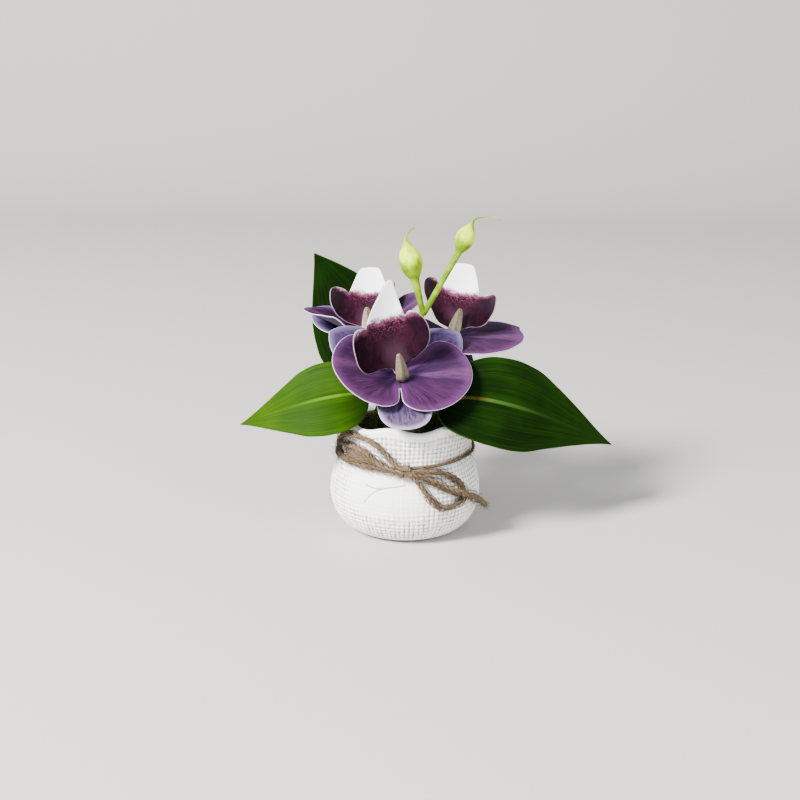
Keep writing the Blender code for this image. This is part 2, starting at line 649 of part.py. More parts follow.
def sepal_outline(bloom):
    """Three pointed lobes round the centre, with the valleys between them at SEPAL_VALLEY."""
    outline = []
    for k, turn in enumerate(SEPAL_TURNS):
        angle = math.radians(turn + bloom["sepal_turn"])
        form = LOW_SEPAL_OUTLINE if k == 0 else SEPAL_OUTLINE
        side = [(t * bloom["sepal_lengths"][k], w * SEPAL_HALF_WIDTH) for t, w in form]
        lobe = [(x, -w) for x, w in side] + [(x, w) for x, w in reversed(side[:-1])]
        outline += [(x * math.cos(angle) - w * math.sin(angle), x * math.sin(angle) + w * math.cos(angle))
                    for x, w in lobe]
        following = SEPAL_TURNS[(k + 1) % 3] + (360.0 if k == 2 else 0.0)
        valley = math.radians((turn + following) / 2 + bloom["sepal_turn"])
        outline.append((SEPAL_VALLEY * math.cos(valley), SEPAL_VALLEY * math.sin(valley)))
    return outline


def make_column(name, bloom, material, parent):
    """The small folded column in the bloom's throat: a tapering ridged tab that stands on the petals and
    leans with the lip."""
    lean = math.radians(bloom["lip_rise"][0] + COLUMN_OPENING)
    turn = Matrix.Rotation(math.radians(bloom["column_turn"]), 3, "Z")
    base = bloom["column_base"]
    sheets = []
    for side in (1, 0):

        def depths(ridge, side=side):
            return [(v, (ridge if v == 0.0 else COLUMN_EDGE) if side else -COLUMN_EDGE) for v in (-1.0, 0.0, 1.0)]

        rows = [[turn @ Vector((v * COLUMN_FOOT_HALF_WIDTH, base - depth, COLUMN_FOOT_HEIGHT))
                 for v, depth in depths(COLUMN_FOOT_RIDGE)]]
        for t, half, ridge in COLUMN_SECTIONS:
            run = t * COLUMN_LENGTH
            row = []
            for v, depth in depths(ridge):
                ahead = base + run * math.cos(lean) - math.sin(lean) * depth
                up = LIP_HEIGHT + COLUMN_LIFT + run * math.sin(lean) + math.cos(lean) * depth
                row.append(turn @ Vector((v * half, ahead, up)))
            rows.append(row)
        sheets.append(rows)
    return solid_from_rows(name, sheets[0], sheets[1], material, parent)


def make_bloom(key, bloom, materials):
    """Sepals, petals, lip and column, stacked on one empty, and the stem that carries them."""
    frame = bpy.data.objects.new(f"bloom_{key}", None)
    bpy.context.scene.collection.objects.link(frame)
    frame.matrix_world = bloom_frame(bloom)
    cut_sheet(f"{key}_sepals", sepal_outline(bloom), (0.0, 0.0), LAYER_RINGS, sepal_place(bloom), PETAL_THICKNESS,
              materials["sepal"], frame)
    cut_sheet(f"{key}_petals", petal_outline(2), (0.0, 0.0), LAYER_RINGS, petal_place(bloom), PETAL_THICKNESS,
              materials["petal"], frame)
    cut_sheet(f"{key}_lip", lip_outline(bloom, 2), LIP_MIDDLE, LIP_RINGS, lip_place(bloom), PETAL_THICKNESS,
              materials["lip"], frame)
    make_column(f"{key}_column", bloom, materials["column"], frame)
    back = frame.matrix_world.to_3x3() @ Vector((0.0, 0.0, -1.0))
    top = Vector(bloom["centre"]) + back * (PETAL_THICKNESS / 2 + RECEPTACLE_CLEARANCE)
    path = stem_path(top, back, bloom["foot"], bloom["stem_bow"])
    radii = [RECEPTACLE_RADIUS] * 2 + [STEM_RADIUS] * (len(path) - 2)
    tube(f"{key}_stem", path, radii, materials["stem"], 2)


# Bud spray

SPRAY_FOOT = (4.5, -3.5)
SPRAY_BENDS = [(4.5, -3.5, 53.0), (0.0, -5.5, 68.0), (-4.6, -8.0, 86.5), (0.8, -9.8, 97.5)]
FORK = (7.4, -9.6, 107.8)
LEFT_BUD = {"base": (3.7, -9.8, 121.4), "top": (-1.3, -9.6, 140.8), "radius": 5.4,
            "tail": [(-1.3, -9.6, 142.0), (-0.8, -9.6, 143.6), (0.6, -9.6, 145.5), (2.8, -9.6, 147.0)]}
RIGHT_BUD = {"base": (22.6, -8.5, 134.6), "top": (28.9, -9.0, 149.2), "radius": 4.4,
             "tail": [(29.8, -9.0, 150.6), (32.4, -9.0, 151.9), (36.4, -9.0, 152.2), (41.5, -9.0, 151.0)]}
BUD_OUTLINE = [(0.0, 0.34), (0.10, 0.42), (0.24, 0.72), (0.42, 0.97), (0.55, 1.0), (0.72, 0.82), (0.88, 0.45),
               (1.0, 0.16)]
BRANCH_RADIUS = 1.35
TRUNK_RADIUS = 1.6
TAIL_RADIUS = 0.45


def bud_branch(name, start, bud, material):
    """One swept tube: branch, swelling bud and the thin tail at its tip."""
    base, top = Vector(bud["base"]), Vector(bud["top"])
    branch = through([start, Vector(start).lerp(base, 0.5), base], 3)[:-1]
    body = [base.lerp(top, t) for t, _ in BUD_OUTLINE]
    tail = [Vector(p) for p in bud["tail"]]
    radii = [BRANCH_RADIUS] * len(branch) + [share * bud["radius"] for _, share in BUD_OUTLINE]
    radii += [TAIL_RADIUS] * len(tail)
    return as_mesh(tube(name, branch + body + tail, radii, material))


def make_spray(material):
    bottom = (SPRAY_FOOT[0], SPRAY_FOOT[1], SOIL_TOP - STEM_DEPTH)
    trunk_points = [bottom, *through([*SPRAY_BENDS, FORK], 3), Vector(FORK) + Vector((0.3, 0.0, 0.8))]
    trunk = as_mesh(tube("trunk", trunk_points, [TRUNK_RADIUS] * len(trunk_points), material))
    start = Vector(FORK) + Vector((0.0, 0.0, -1.2))
    left = bud_branch("left_branch", start, LEFT_BUD, material)
    right = bud_branch("right_branch", start + Vector((0.1, 0.2, 0.1)), RIGHT_BUD, material)
    return union("bud_spray", [trunk, left, right], material)


def main():
    clear_scene()
    materials = {
        "pot": principled("white_ceramic", (0.86, 0.86, 0.84), 0.7),
        "soil": principled("dark_soil", (0.05, 0.04, 0.025), 0.95),
        "twine": principled("jute", (0.36, 0.24, 0.14), 0.9),
        "leaf": principled("leaf_green", (0.07, 0.22, 0.02), 0.4),
        "sepal": principled("sepal_lavender", (0.35, 0.29, 0.52), 0.5),
        "petal": principled("petal_purple", (0.25, 0.10, 0.34), 0.5),
        "lip": principled("lip_maroon", (0.16, 0.03, 0.09), 0.45),
        "column": principled("column_cream", (0.62, 0.58, 0.46), 0.5),
        "stem": principled("stem_green", (0.16, 0.24, 0.05), 0.5),
        "bud": principled("bud_yellow_green", (0.62, 0.72, 0.20), 0.45),
    }
    make_pot(materials["pot"])
    make_twine(materials["twine"])
    feet = {key: (*bloom["foot"], STEM_RADIUS) for key, bloom in BLOOMS.items()}
    feet |= {name: (*leaf["foot"], STALK_RADIUS) for name, leaf in LEAVES.items()}
    feet["spray"] = (*SPRAY_FOOT, TRUNK_RADIUS)
    make_soil(materials["soil"], feet)
    for name, leaf in LEAVES.items():
        make_leaf(name, leaf, materials["leaf"])
    for key, bloom in BLOOMS.items():
        make_bloom(key, bloom, materials)
    make_spray(materials["bud"])


main()
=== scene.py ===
"""Looks of the potted miniature orchid: coated petals with pale cut edges, veined leaves, waxy buds, a white
pot with a woven relief and a bow of twisted jute. Sizes are in millimetres, and MM turns them into metres.
The routes and outlines repeat those of the part's own source."""

import math

import bpy
import numpy as np
from mathutils import Matrix, Vector


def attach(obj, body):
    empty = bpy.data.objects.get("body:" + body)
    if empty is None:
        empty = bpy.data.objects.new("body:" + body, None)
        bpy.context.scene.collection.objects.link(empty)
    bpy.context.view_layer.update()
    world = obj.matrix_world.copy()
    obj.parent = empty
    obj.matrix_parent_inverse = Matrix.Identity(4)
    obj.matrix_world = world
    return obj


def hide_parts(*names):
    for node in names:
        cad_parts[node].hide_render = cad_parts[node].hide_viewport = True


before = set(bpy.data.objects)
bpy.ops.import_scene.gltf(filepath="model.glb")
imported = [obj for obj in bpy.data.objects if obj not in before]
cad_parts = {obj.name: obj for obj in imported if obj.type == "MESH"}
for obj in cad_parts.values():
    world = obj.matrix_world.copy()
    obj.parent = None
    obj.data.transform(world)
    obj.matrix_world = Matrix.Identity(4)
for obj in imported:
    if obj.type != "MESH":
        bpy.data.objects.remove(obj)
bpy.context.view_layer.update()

MM = 0.001
SEED = 7
FULL_TURN = 2 * math.pi
# Steps from each given point of a route or an outline to the next
CURVE_STEPS = 8

# Sizes shared with the part's source
GAP = 0.3
PETAL_THICKNESS = 0.7
LEAF_THICKNESS = 0.8
POT_OUTER = [(23.0, 0.0), (28.0, 2.2), (32.6, 7.0), (35.2, 13.0), (36.0, 19.5), (35.3, 26.0), (33.4, 32.5),
             (32.0, 37.0), (31.6, 40.5), (32.0, 45.0), (32.8, 50.5), (33.4, 55.3)]
POT_INNER = [(31.0, 56.3), (29.2, 55.0), (28.4, 49.5), (28.1, 41.0), (29.6, 34.0), (32.0, 26.0),
             (32.6, 19.5), (31.6, 13.0), (28.5, 7.5), (22.0, 4.6)]
RIM_LOBES = 7
RIM_WAVE_HEIGHT = 1.3
RIM_WAVE_RADIUS = 0.5
RIM_WAVE_START = 44.0
RIM_WAVE_FULL = 56.0
SOIL_FLOOR = 4.9
SOIL_TOP = 51.0
SOIL_MOUND = 2.4
STEM_DEPTH = 24.0
TWINE_RADIUS = 1.1
TWINE_NECK_HEIGHT = 39.0
TWINE_NECK_TILT = 1.6


# Curves and meshes

def smoothstep(low, high, x):
    t = np.clip((x - low) / (high - low), 0.0, 1.0)
    return t * t * (3 - 2 * t)


def eased(points, x):
    """The value at x of the smooth curve through the (x, value) points, with no overshoot at a peak."""
    xs, ys = np.array(points, float).T
    secant = np.diff(ys) / np.diff(xs)
    before, after = secant[:-1], secant[1:]
    total = np.where(before + after == 0, 1.0, before + after)
    inside = np.where(before * after > 0, 2 * before * after / total, 0.0)
    slopes = np.concatenate([secant[:1], inside, secant[-1:]])
    x = np.clip(x, xs[0], xs[-1])
    i = np.clip(np.searchsorted(xs, x, side="right") - 1, 0, len(xs) - 2)
    h = xs[i + 1] - xs[i]
    t = (x - xs[i]) / h
    return (ys[i] * (1 + 2 * t) * (1 - t) ** 2 + slopes[i] * h * t * (1 - t) ** 2
            + ys[i + 1] * t * t * (3 - 2 * t) + slopes[i + 1] * h * t * t * (t - 1))


def through(points, steps):
    """A smooth open curve through the points, with that many steps from each point to the next."""
    knots = np.array(points, float)
    knots = np.vstack([2 * knots[0] - knots[1], knots, 2 * knots[-1] - knots[-2]])
    t = (np.arange(steps) / steps)[:, None]
    curve = []
    for a, b, c, d in zip(knots, knots[1:], knots[2:], knots[3:]):
        curve.append(0.5 * (2 * b + (c - a) * t + (2 * a - 5 * b + 4 * c - d) * t * t
                            + (3 * b - a - 3 * c + d) * t ** 3))
    return np.vstack([*curve, knots[-2]])


def lengths_along(curve):
    return np.concatenate([[0.0], np.cumsum(np.linalg.norm(np.diff(curve, axis=0), axis=1))])


def evenly(curve, spacing, closed=False):
    """The curve again with its points about that far apart."""
    if closed:
        curve = np.vstack([curve, curve[:1]])
    along = lengths_along(curve)
    count = max(3, int(round(along[-1] / spacing)) + 1)
    wanted = np.linspace(0.0, along[-1], count)
    made = np.stack([np.interp(wanted, along, column) for column in curve.T], axis=-1)
    return made[:-1] if closed else made


def unit(vectors):
    return vectors / np.maximum(np.linalg.norm(vectors, axis=-1, keepdims=True), 1e-9)


def frames_along(path):
    """Two unit vectors across the path at each point, carried along it without twist."""
    tangents = unit(np.gradient(path, axis=0))
    side = np.cross(tangents[0], (0.0, 0.0, 1.0))
    if np.linalg.norm(side) < 1e-3:
        side = np.array((1.0, 0.0, 0.0))
    first = []
    for tangent in tangents:
        side = unit(side - tangent * (side @ tangent))
        first.append(side)
    first = np.array(first)
    return first, np.cross(tangents, first)


def ray(angle, across, up):
    """The way out from a path at that angle round it."""
    return np.cos(angle)[..., None] * across + np.sin(angle)[..., None] * up


def turned(x, y, angle):
    """(x, y) turned about the centre by that angle, in radians."""
    return x * math.cos(angle) - y * math.sin(angle), x * math.sin(angle) + y * math.cos(angle)


def circle(count):
    """Angles of that many points round a circle."""
    return np.linspace(0.0, FULL_TURN, count, endpoint=False)


def tube_loops(path, radii, sides):
    """Loops of points round a path, and (distance along, angle round, 0) for each of them."""
    across, up = frames_along(path)
    angle = circle(sides)[None]
    radii = np.broadcast_to(np.asarray(radii, float), (len(path),))[:, None, None]
    loops = path[:, None] + radii * ray(angle, across[:, None], up[:, None])
    return loops, np.stack(np.broadcast_arrays(lengths_along(path)[:, None], angle, 0.0), -1)


def tube_faces(rows, columns):
    """Faces of a closed tube of points, rows by columns, whose two end points come last."""
    i = np.arange(rows - 1)[:, None]
    j = np.arange(columns)
    k = (j + 1) % columns
    sides = np.stack([i * columns + j, (i + 1) * columns + j, (i + 1) * columns + k, i * columns + k], -1)
    first, last = np.full((2, columns), rows * columns) + [[0], [1]]
    end = (rows - 1) * columns
    return [sides.reshape(-1, 4), np.stack([first, j, k], -1), np.stack([last, end + k, end + j], -1)]


def new_object(name, data):
    obj = bpy.data.objects.new(name, data)
    bpy.context.scene.collection.objects.link(obj)
    return obj


class Shape:
    """The closed shells of one piece, with per-point data that its material reads."""

    def __init__(self):
        self.points, self.faces, self.data, self.count = [], [], {}, 0

    def add_loops(self, loops, **data):
        """A shell from closed loops of points, rows by columns by 3, with both ends closed to their middles.
        Its faces are turned over if they point in."""
        rows, columns = loops.shape[:2]
        points = np.vstack([loops.reshape(-1, 3), loops[0].mean(0), loops[-1].mean(0)])
        volume = 0.0
        for faces in tube_faces(rows, columns):
            corner, *others = [points[column] for column in faces.T]
            for second, third in zip(others, others[1:]):
                volume += np.einsum("ij,ij->i", corner, np.cross(second, third)).sum()
        for faces in tube_faces(rows, columns):
            self.faces += ((faces[:, ::-1] if volume < 0 else faces) + self.count).tolist()
        self.points.append(points)
        for key, values in data.items():
            flat = values.reshape(rows * columns, *values.shape[2:])
            ends = np.array([values[0].mean(0), values[-1].mean(0)])
            self.data.setdefault(key, []).append(np.concatenate([flat, ends]))
        self.count += len(points)

    def add_tube(self, path, radii, sides, tone=0.0):
        """A round strand, with its tone as the last of its data."""
        loops, strand = tube_loops(path, radii, sides)
        strand[..., 2] = tone
        self.add_loops(loops, strand=strand)

    def piece(self, name, material, slot, *nodes):
        """The finished object, which rides on the part's one body and stands for its solids."""
        mesh = bpy.data.meshes.new(name)
        mesh.from_pydata((np.vstack(self.points) * MM).tolist(), [], self.faces)
        mesh.materials.append(material)
        for key, values in self.data.items():
            values = np.concatenate(values).astype(np.float32)
            layer = mesh.attributes.new(key, "FLOAT" if values.ndim == 1 else "FLOAT_VECTOR", "POINT")
            layer.data.foreach_set("value" if values.ndim == 1 else "vector", values.ravel())
        mesh.shade_smooth()
        obj = new_object(name, mesh)
        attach(obj, "root")
        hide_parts(*nodes)


# Materials

def srgb(text):
    """A linear colour from its six hexadecimal digits."""
    channels = [int(text[k:k + 2], 16) / 255 for k in (0, 2, 4)]
    return (*[c / 12.92 if c <= 0.04045 else ((c + 0.055) / 1.055) ** 2.4 for c in channels], 1.0)


class Graph:
    """One material. Its colour starts with base, and each paint lays a share of another colour over it."""

    def __init__(self, name, roughness, shine=0.5, **others):
        self.material = bpy.data.materials.new(name)
        self.material.use_nodes = True
        self.tree = self.material.node_tree
        self.shader = self.tree.nodes["Principled BSDF"]
        self.set("Roughness", roughness)
        self.set("Specular IOR Level", shine)
        for key, value in others.items():
            self.set(key.replace("_", " "), value)

    def put(self, socket, value):
        if isinstance(value, bpy.types.NodeSocket):
            self.tree.links.new(value, socket)
        else:
            socket.default_value = value

    def set(self, name, value):
        self.put(self.shader.inputs[name], value)

    def node(self, kind, values=(), **settings):
        """A new node with those settings and with those values in its first inputs."""
        node = self.tree.nodes.new("ShaderNode" + kind)
        for key, value in settings.items():
            setattr(node, key, value)
        for socket, value in zip(node.inputs, values):
            self.put(socket, value)
        return node

    def math(self, operation, *values, clamp=False):
        return self.node("Math", values, operation=operation, use_clamp=clamp).outputs[0]

    def times(self, a, b):
        return self.math("MULTIPLY", a, b)

    def size(self, value):
        """The value without its sign."""
        return self.math("ABSOLUTE", value)

    def step(self, value, low, high, start=0.0, end=1.0):
        """Smoothly from start to end as value goes from low to high."""
        values = (value, low, high, start, end)
        return self.node("MapRange", values, interpolation_type="SMOOTHSTEP").outputs[0]

    def mix(self, share, a, b):
        node = self.node("Mix", [share], data_type="RGBA")
        self.put(node.inputs[6], a)
        self.put(node.inputs[7], b)
        return node.outputs[2]

    def noise(self, vector, scale, detail=3.0, roughness=0.5, distortion=0.0):
        node = self.node("TexNoise")
        values = {"Vector": vector, "Scale": scale, "Detail": detail, "Roughness": roughness}
        for name, value in {**values, "Distortion": distortion}.items():
            self.put(node.inputs[name], value)
        return node.outputs[0]

    def join(self, *values):
        return self.node("CombineXYZ", values).outputs[0]

    def stretch(self, *parts):
        """A vector of values, each given with its scale."""
        return self.join(*[self.times(value, scale) for value, scale in parts])

    def read(self, name):
        """The three parts of a piece's own per-point vector."""
        node = self.node("Attribute", attribute_name=name)
        return self.node("SeparateXYZ", [node.outputs["Vector"]]).outputs

    def read_one(self, name):
        return self.node("Attribute", attribute_name=name).outputs["Fac"]

    def place(self):
        """The point in millimetres in the part's own frame."""
        scaled = self.node("VectorMath", [self.node("TexCoord").outputs["Object"]], operation="SCALE")
        self.put(scaled.inputs["Scale"], 1 / MM)
        return scaled.outputs[0]

    def base(self, share, low, high):
        self.colour = self.mix(share, srgb(low), srgb(high))

    def paint(self, share, colour):
        self.colour = self.mix(share, self.colour, srgb(colour) if isinstance(colour, str) else colour)

    def finish(self, height, distance, strength):
        """The material, with a relief of that height in millimetres."""
        node = self.node("Bump")
        self.put(node.inputs["Height"], height)
        self.put(node.inputs["Distance"], distance * MM)
        self.put(node.inputs["Strength"], strength)
        self.set("Normal", node.outputs[0])
        self.set("Base Color", self.colour)
        return self.material


# Pot

WEAVE_COLUMNS = 94
WEAVE_ROW = 2.15
WEAVE_DEPTH = 0.85
WEAVE_STEPS = 5
# The height, 0 to 1, of the weave that lies level with the wall
WEAVE_LEVEL = 0.75
RELIEF_START = 2.0
RELIEF_END = 53.6
RELIEF_FADE = 1.5
INNER_STEP = 1.3
LUMP_DEPTH = 0.16
THREAD_ROUNDNESS = 0.55
THREAD_SWELL = 0.8
# The plain patch on the pot's front: its middle as (turn, height) and how far it reaches
PLAIN_PATCH = (-14.0, 27.0)
PLAIN_REACH = (34.0, 11.0)
PLAIN_SHARE = 0.8
# Fine folds on the pot's front, as (turn, height) stops; the material darkens them as painted shade
CREASES = [[(0.5, 31.2), (-4.2, 30.4), (-13.6, 29.5), (-19.0, 28.5), (-24.4, 26.8), (-29.1, 24.0),
            (-32.3, 21.0)],
           [(-32.9, 29.8), (-29.1, 29.0), (-23.3, 28.6), (-18.0, 28.9)]]
CREASE_WIDTH = 0.42
CREASE_DEPTH = 0.3


def rim_wave(angle, height):
    """(outward, upward) shift of the pot's wall: the mouth is gently lobed like a gathered sack."""
    share = smoothstep(RIM_WAVE_START, RIM_WAVE_FULL, height)
    wave = np.cos(RIM_LOBES * (angle - math.pi / 2))
    return RIM_WAVE_RADIUS * wave * share, RIM_WAVE_HEIGHT * wave * share


def pot_radius(height):
    return eased([(z, r) for r, z in POT_OUTER], height)


def weave(column, row):
    """The height, 0 to 1, of a plain weave of round threads. Column and row count the threads."""
    i, j = np.floor(column), np.floor(row)
    u, w = column - i - 0.5, row - j - 0.5
    u, w = np.cos(math.pi * u), np.cos(math.pi * w)
    upright = u ** THREAD_ROUNDNESS * (0.5 + 0.5 * w ** THREAD_SWELL)
    level = w ** THREAD_ROUNDNESS * (0.5 + 0.5 * u ** THREAD_SWELL)
    return np.where((i + j) % 2 == 0, upright, level)


def wobble(a, b, phase):
    """A slow irregular wave, about -1 to 1, of two coordinates."""
    return (np.sin(a * 1.3 + 0.9 * np.sin(b * 0.8 + phase) + phase) * 0.6
            + np.sin(b * 1.1 + 1.3 * np.sin(a * 0.7 - phase) + 2 * phase) * 0.4)


def crease_share(turn, height, radius):
    """1 on the middle of a fold and 0 away from it."""
    nearest = np.full(turn.shape, 1e9)
    for stops in CREASES:
        for stop_turn, stop_height in evenly(through(stops, 6), 0.4):
            away = np.radians(turn - stop_turn) * radius
            nearest = np.minimum(nearest, np.hypot(away, height - stop_height))
    return np.exp(-(nearest / CREASE_WIDTH) ** 2)


def pot_material():
    g = Graph("white_ceramic_woven", 0.62, 0.35)
    groove_shade, fold, _ = g.read("surface")
    place = g.place()
    g.base(g.step(g.noise(place, 0.07, 4.0, 0.55), 0.35, 0.7), "f8f7f4", "fefdfb")
    # painted shade: the weave's grooves are darkened where shade falls between the threads
    g.paint(g.step(groove_shade, 0.3, 1.0), "6f6c63")
    # painted shade: the fine folds on the front are darkened where shade falls in them
    g.paint(g.step(fold, 0.3, 0.9, end=0.8), "4a4742")
    return g.finish(g.noise(place, 1.4, 5.0, 0.65), 0.12, 0.5)


def make_pot():
    outer = evenly(through(POT_OUTER, 12), WEAVE_ROW / WEAVE_STEPS)
    rest = evenly(through([*POT_OUTER[-2:], *POT_INNER], 6), INNER_STEP)
    lip_start = np.argmin(np.linalg.norm(rest - np.array(POT_OUTER[-1]), axis=1)) + 1
    profile = np.vstack([outer, rest[lip_start:]])
    angle = np.linspace(-math.pi, math.pi, WEAVE_COLUMNS * WEAVE_STEPS, endpoint=False)[None]
    radius, height = profile[:, :1], profile[:, 1:]
    along = lengths_along(profile)[:, None]
    turn = np.degrees(angle)
    is_outer = (np.arange(len(profile)) < len(outer))[:, None]
    fade = smoothstep(RELIEF_START - RELIEF_FADE, RELIEF_START + RELIEF_FADE, height)
    fade = fade * (1 - smoothstep(RELIEF_END - RELIEF_FADE, RELIEF_END, height)) * is_outer
    beside = (turn - PLAIN_PATCH[0]) / PLAIN_REACH[0]
    above = (height - PLAIN_PATCH[1]) / PLAIN_REACH[1]
    woven = 1 - PLAIN_SHARE * np.exp(-beside ** 4 - above ** 4)
    column = (angle / FULL_TURN + 0.5) * WEAVE_COLUMNS + 0.10 * wobble(angle * 9, along * 0.25, 0.4)
    row = along / WEAVE_ROW + 0.12 * wobble(angle * 7, along * 0.3, 1.7)
    knobs = weave(column, row) * (0.85 + 0.15 * wobble(angle * 23, along * 0.9, 2.1))
    fold = crease_share(turn, height, radius) * is_outer
    relief = (knobs - WEAVE_LEVEL) * WEAVE_DEPTH * fade * woven - CREASE_DEPTH * fold
    lumps = LUMP_DEPTH * wobble(angle * 3, along * 0.12, 0.9) * fade
    outward, upward = rim_wave(angle, height)
    r = radius + relief + lumps + outward
    loops = np.stack([r * np.sin(angle), -r * np.cos(angle), height + upward], -1)
    # How deep each point lies in the weave's grooves, which the material darkens as painted shade
    groove_shade = (1 - np.clip(knobs, 0, 1)) * fade * woven
    pot = Shape()
    pot.add_loops(loops, surface=np.stack([groove_shade, fold, 0 * fold], -1))
    pot.piece("pot_woven", pot_material(), "white_ceramic", "pot")


# Soil

SOIL_RINGS = 46
SOIL_COLUMNS = 120
SOIL_SIDE_HEIGHTS = (SOIL_TOP - 0.8, 40.0, 33.0, 26.0, 19.0, 12.0, SOIL_FLOOR)
CRUMBS = 260
# Room between the fill and the wall, over the usual gap
SOIL_ROOM = 0.25
CRUMB_SIZES = (0.5, 1.5)
CRUMB_MARGIN = 1.5
CRUMB_LUMPS = (0.65, 1.25)
CRUMB_FLATNESS = 0.6
CRUMB_ROWS = 4
CRUMB_COLUMNS = 7


def inner_radius(height):
    return eased([(z, r) for r, z in reversed(POT_INNER)], height)


def crumb(random, edge):
    """Loops of one lumpy crumb on the fill, anywhere inside that radius."""
    radius = (edge - CRUMB_MARGIN) * math.sqrt(random.random())
    turn = random.random() * FULL_TURN
    size = random.uniform(*CRUMB_SIZES)
    height = SOIL_TOP + SOIL_MOUND * (1 - (radius / edge) ** 2) + 0.1
    middle = np.array([radius * math.cos(turn), radius * math.sin(turn), height])
    down = np.linspace(0, math.pi, CRUMB_ROWS + 2)[1:-1, None]
    around = circle(CRUMB_COLUMNS)
    ball = np.stack(np.broadcast_arrays(np.sin(down) * np.cos(around), np.sin(down) * np.sin(around),
                                        np.cos(down)), -1)
    lumps = random.uniform(*CRUMB_LUMPS, (CRUMB_ROWS, CRUMB_COLUMNS, 1))
    return middle + ball * lumps * (size, size * random.uniform(0.5, 1), size * CRUMB_FLATNESS)


def soil_material():
    g = Graph("dark_fill", 0.95, 0.2)
    place = g.place()
    g.base(g.step(g.noise(place, 0.35, 5.0, 0.65), 0.3, 0.7), "1c1e10", "3e4226")
    return g.finish(g.noise(place, 1.8, 6.0, 0.7), 0.6, 0.8)


def make_soil(random):
    angle = circle(SOIL_COLUMNS)[None]
    wave = RIM_WAVE_RADIUS * smoothstep(RIM_WAVE_START, RIM_WAVE_FULL, SOIL_TOP)
    edge = inner_radius(SOIL_TOP) - wave - GAP
    share = np.linspace(0.02, 1.0, SOIL_RINGS)[:, None]
    x, y = share * edge * np.cos(angle), share * edge * np.sin(angle)
    rough = wobble(x * 0.9, y * 0.9, 0.3) * 0.5 + wobble(x * 2.3, y * 2.1, 1.9) * 0.35
    z = SOIL_TOP + SOIL_MOUND * (1 - share ** 2) + rough * 0.9 * smoothstep(1.0, 0.9, share)
    height = np.array(SOIL_SIDE_HEIGHTS)[:, None]
    radius = inner_radius(height) - GAP - SOIL_ROOM
    sides = np.broadcast_arrays(radius * np.cos(angle), radius * np.sin(angle), height)
    soil = Shape()
    soil.add_loops(np.concatenate([np.stack([x, y, z], -1), np.stack(sides, -1)]))
    for _ in range(CRUMBS):
        soil.add_loops(crumb(random, edge))
    soil.piece("soil_crumbs", soil_material(), "dark_soil", "soil")


# Twine

def on_pot(turn, height, lift, radius):
    """The middle of a strand of that radius on the pot's outer wall, lifted off its seat by lift. Turn is in
    degrees to the right of the pot's front."""
    angle = np.radians(turn)
    reach = pot_radius(height) + GAP + radius + lift
    return np.stack([reach * np.sin(angle), -reach * np.cos(angle), height + 0 * angle], -1)


# How far a strand is lifted where it lies over another
OVER = 2.2 * TWINE_RADIUS
# Routes of the bow over the pot, as (turn, height, lift), and the radius of each strand: the twine is pulled
# thin round the neck and comes loose towards its ends
BOW_ROUTES = {
    "left_loop": [(-2, 38.8, OVER), (-9, 41.6, 1.8), (-18, 47.2, 0.6), (-30, 51.4, 0.2), (-44, 52.6, 0.2),
                  (-58, 50.6, 0.5), (-67, 45.8, 0.8), (-60, 40.9, 1.4), (-46, 39.4, 2.0), (-34, 39.2, 2.2),
                  (-20, 38.8, 2.2), (-6, 37.9, OVER)],
    "right_loop": [(4, 38.2, OVER), (18, 37.6, 1.8), (31, 35.8, 0.8), (40.5, 32.6, 0.4), (47, 28.6, 0.0),
                   (48.6, 24.6, 0.0), (44.5, 21.4, 0.0), (37, 19.9, 0.0), (29, 20.3, 0.0), (22, 22.9, 0.2),
                   (16, 27.0, 0.6), (10.5, 32.0, 1.4), (4, 36.8, OVER)],
    "right_tail": [(3, 37.6, OVER + 0.4), (12, 35.6, 1.6), (21, 33.0, 0.8), (32, 29.2, 0.4), (42, 26.2, 1.6),
                   (49, 24.2, 2.6), (58, 21.0, 2.6), (64, 18.2, 2.8), (69, 15.6, 3.6)],
    "left_tail": [(-3, 37.6, OVER), (-12, 38.9, 2.2), (-24, 41.6, 1.4), (-34, 45.0, 0.3), (-46, 46.6, 0.2),
                  (-58, 46.4, 0.8)],
}
STRAND_RADII = {"neck": 0.85, "left_loop": TWINE_RADIUS, "right_loop": 1.15, "right_tail": 1.5,
                "left_tail": 1.3}
PLIES = 3
PLY_RADIUS = 0.64
PLY_OFFSET = 0.6
PLY_PITCH = 8.5
PLY_SIDES = 8
PLAIN_RADIUS = PLY_RADIUS + PLY_OFFSET
TWINE_STEP = 0.6
NECK_TURNS = (2.0, 358.0)
# The wraps of the knot, as (shift to the right, lean), and how deep and how high they are
KNOT_WRAPS = [(-1.5, 0.35), (0.1, 0.15), (1.7, -0.25)]
KNOT_DEPTH = 1.75
KNOT_HEIGHT = 2.25
KNOT_THICKNESS = 0.85
KNOT_DROP = 0.8
KNOT_LIFT = 1.5
HAIRS_PER_MM = 5.0
HAIR_RADIUS = 0.075
HAIR_LENGTHS = (0.7, 3.0)
HAIR_LEANS = (0.25, 0.9)
HAIR_BEND = 0.35
FIBRE_TONES = (4, 9)
FRAY_FIBRES = 60
FRAY_LENGTHS = (3.0, 6.5)
FRAY_RADIUS = 0.42
FRAY_SETBACK = 1.6
WISPS_PER_MM = 1.5
WISP_RADIUS = 0.14
WISP_LENGTH = 14
FIBRE_SIDES = 3
FIBRE_THICKNESSES = (0.6, 1.2)
BUNDLE_FIBRES = 110
BUNDLE_RADIUS = 0.16
# Where the fibres of the bundle start, as turn and height, and how far they run on from there
BUNDLE_TURNS = (-30, -14)
BUNDLE_HEIGHTS = (39.2, 40.8)
BUNDLE_RUNS = (-34, -22)
BUNDLE_RISES = (0.4, 6.5)


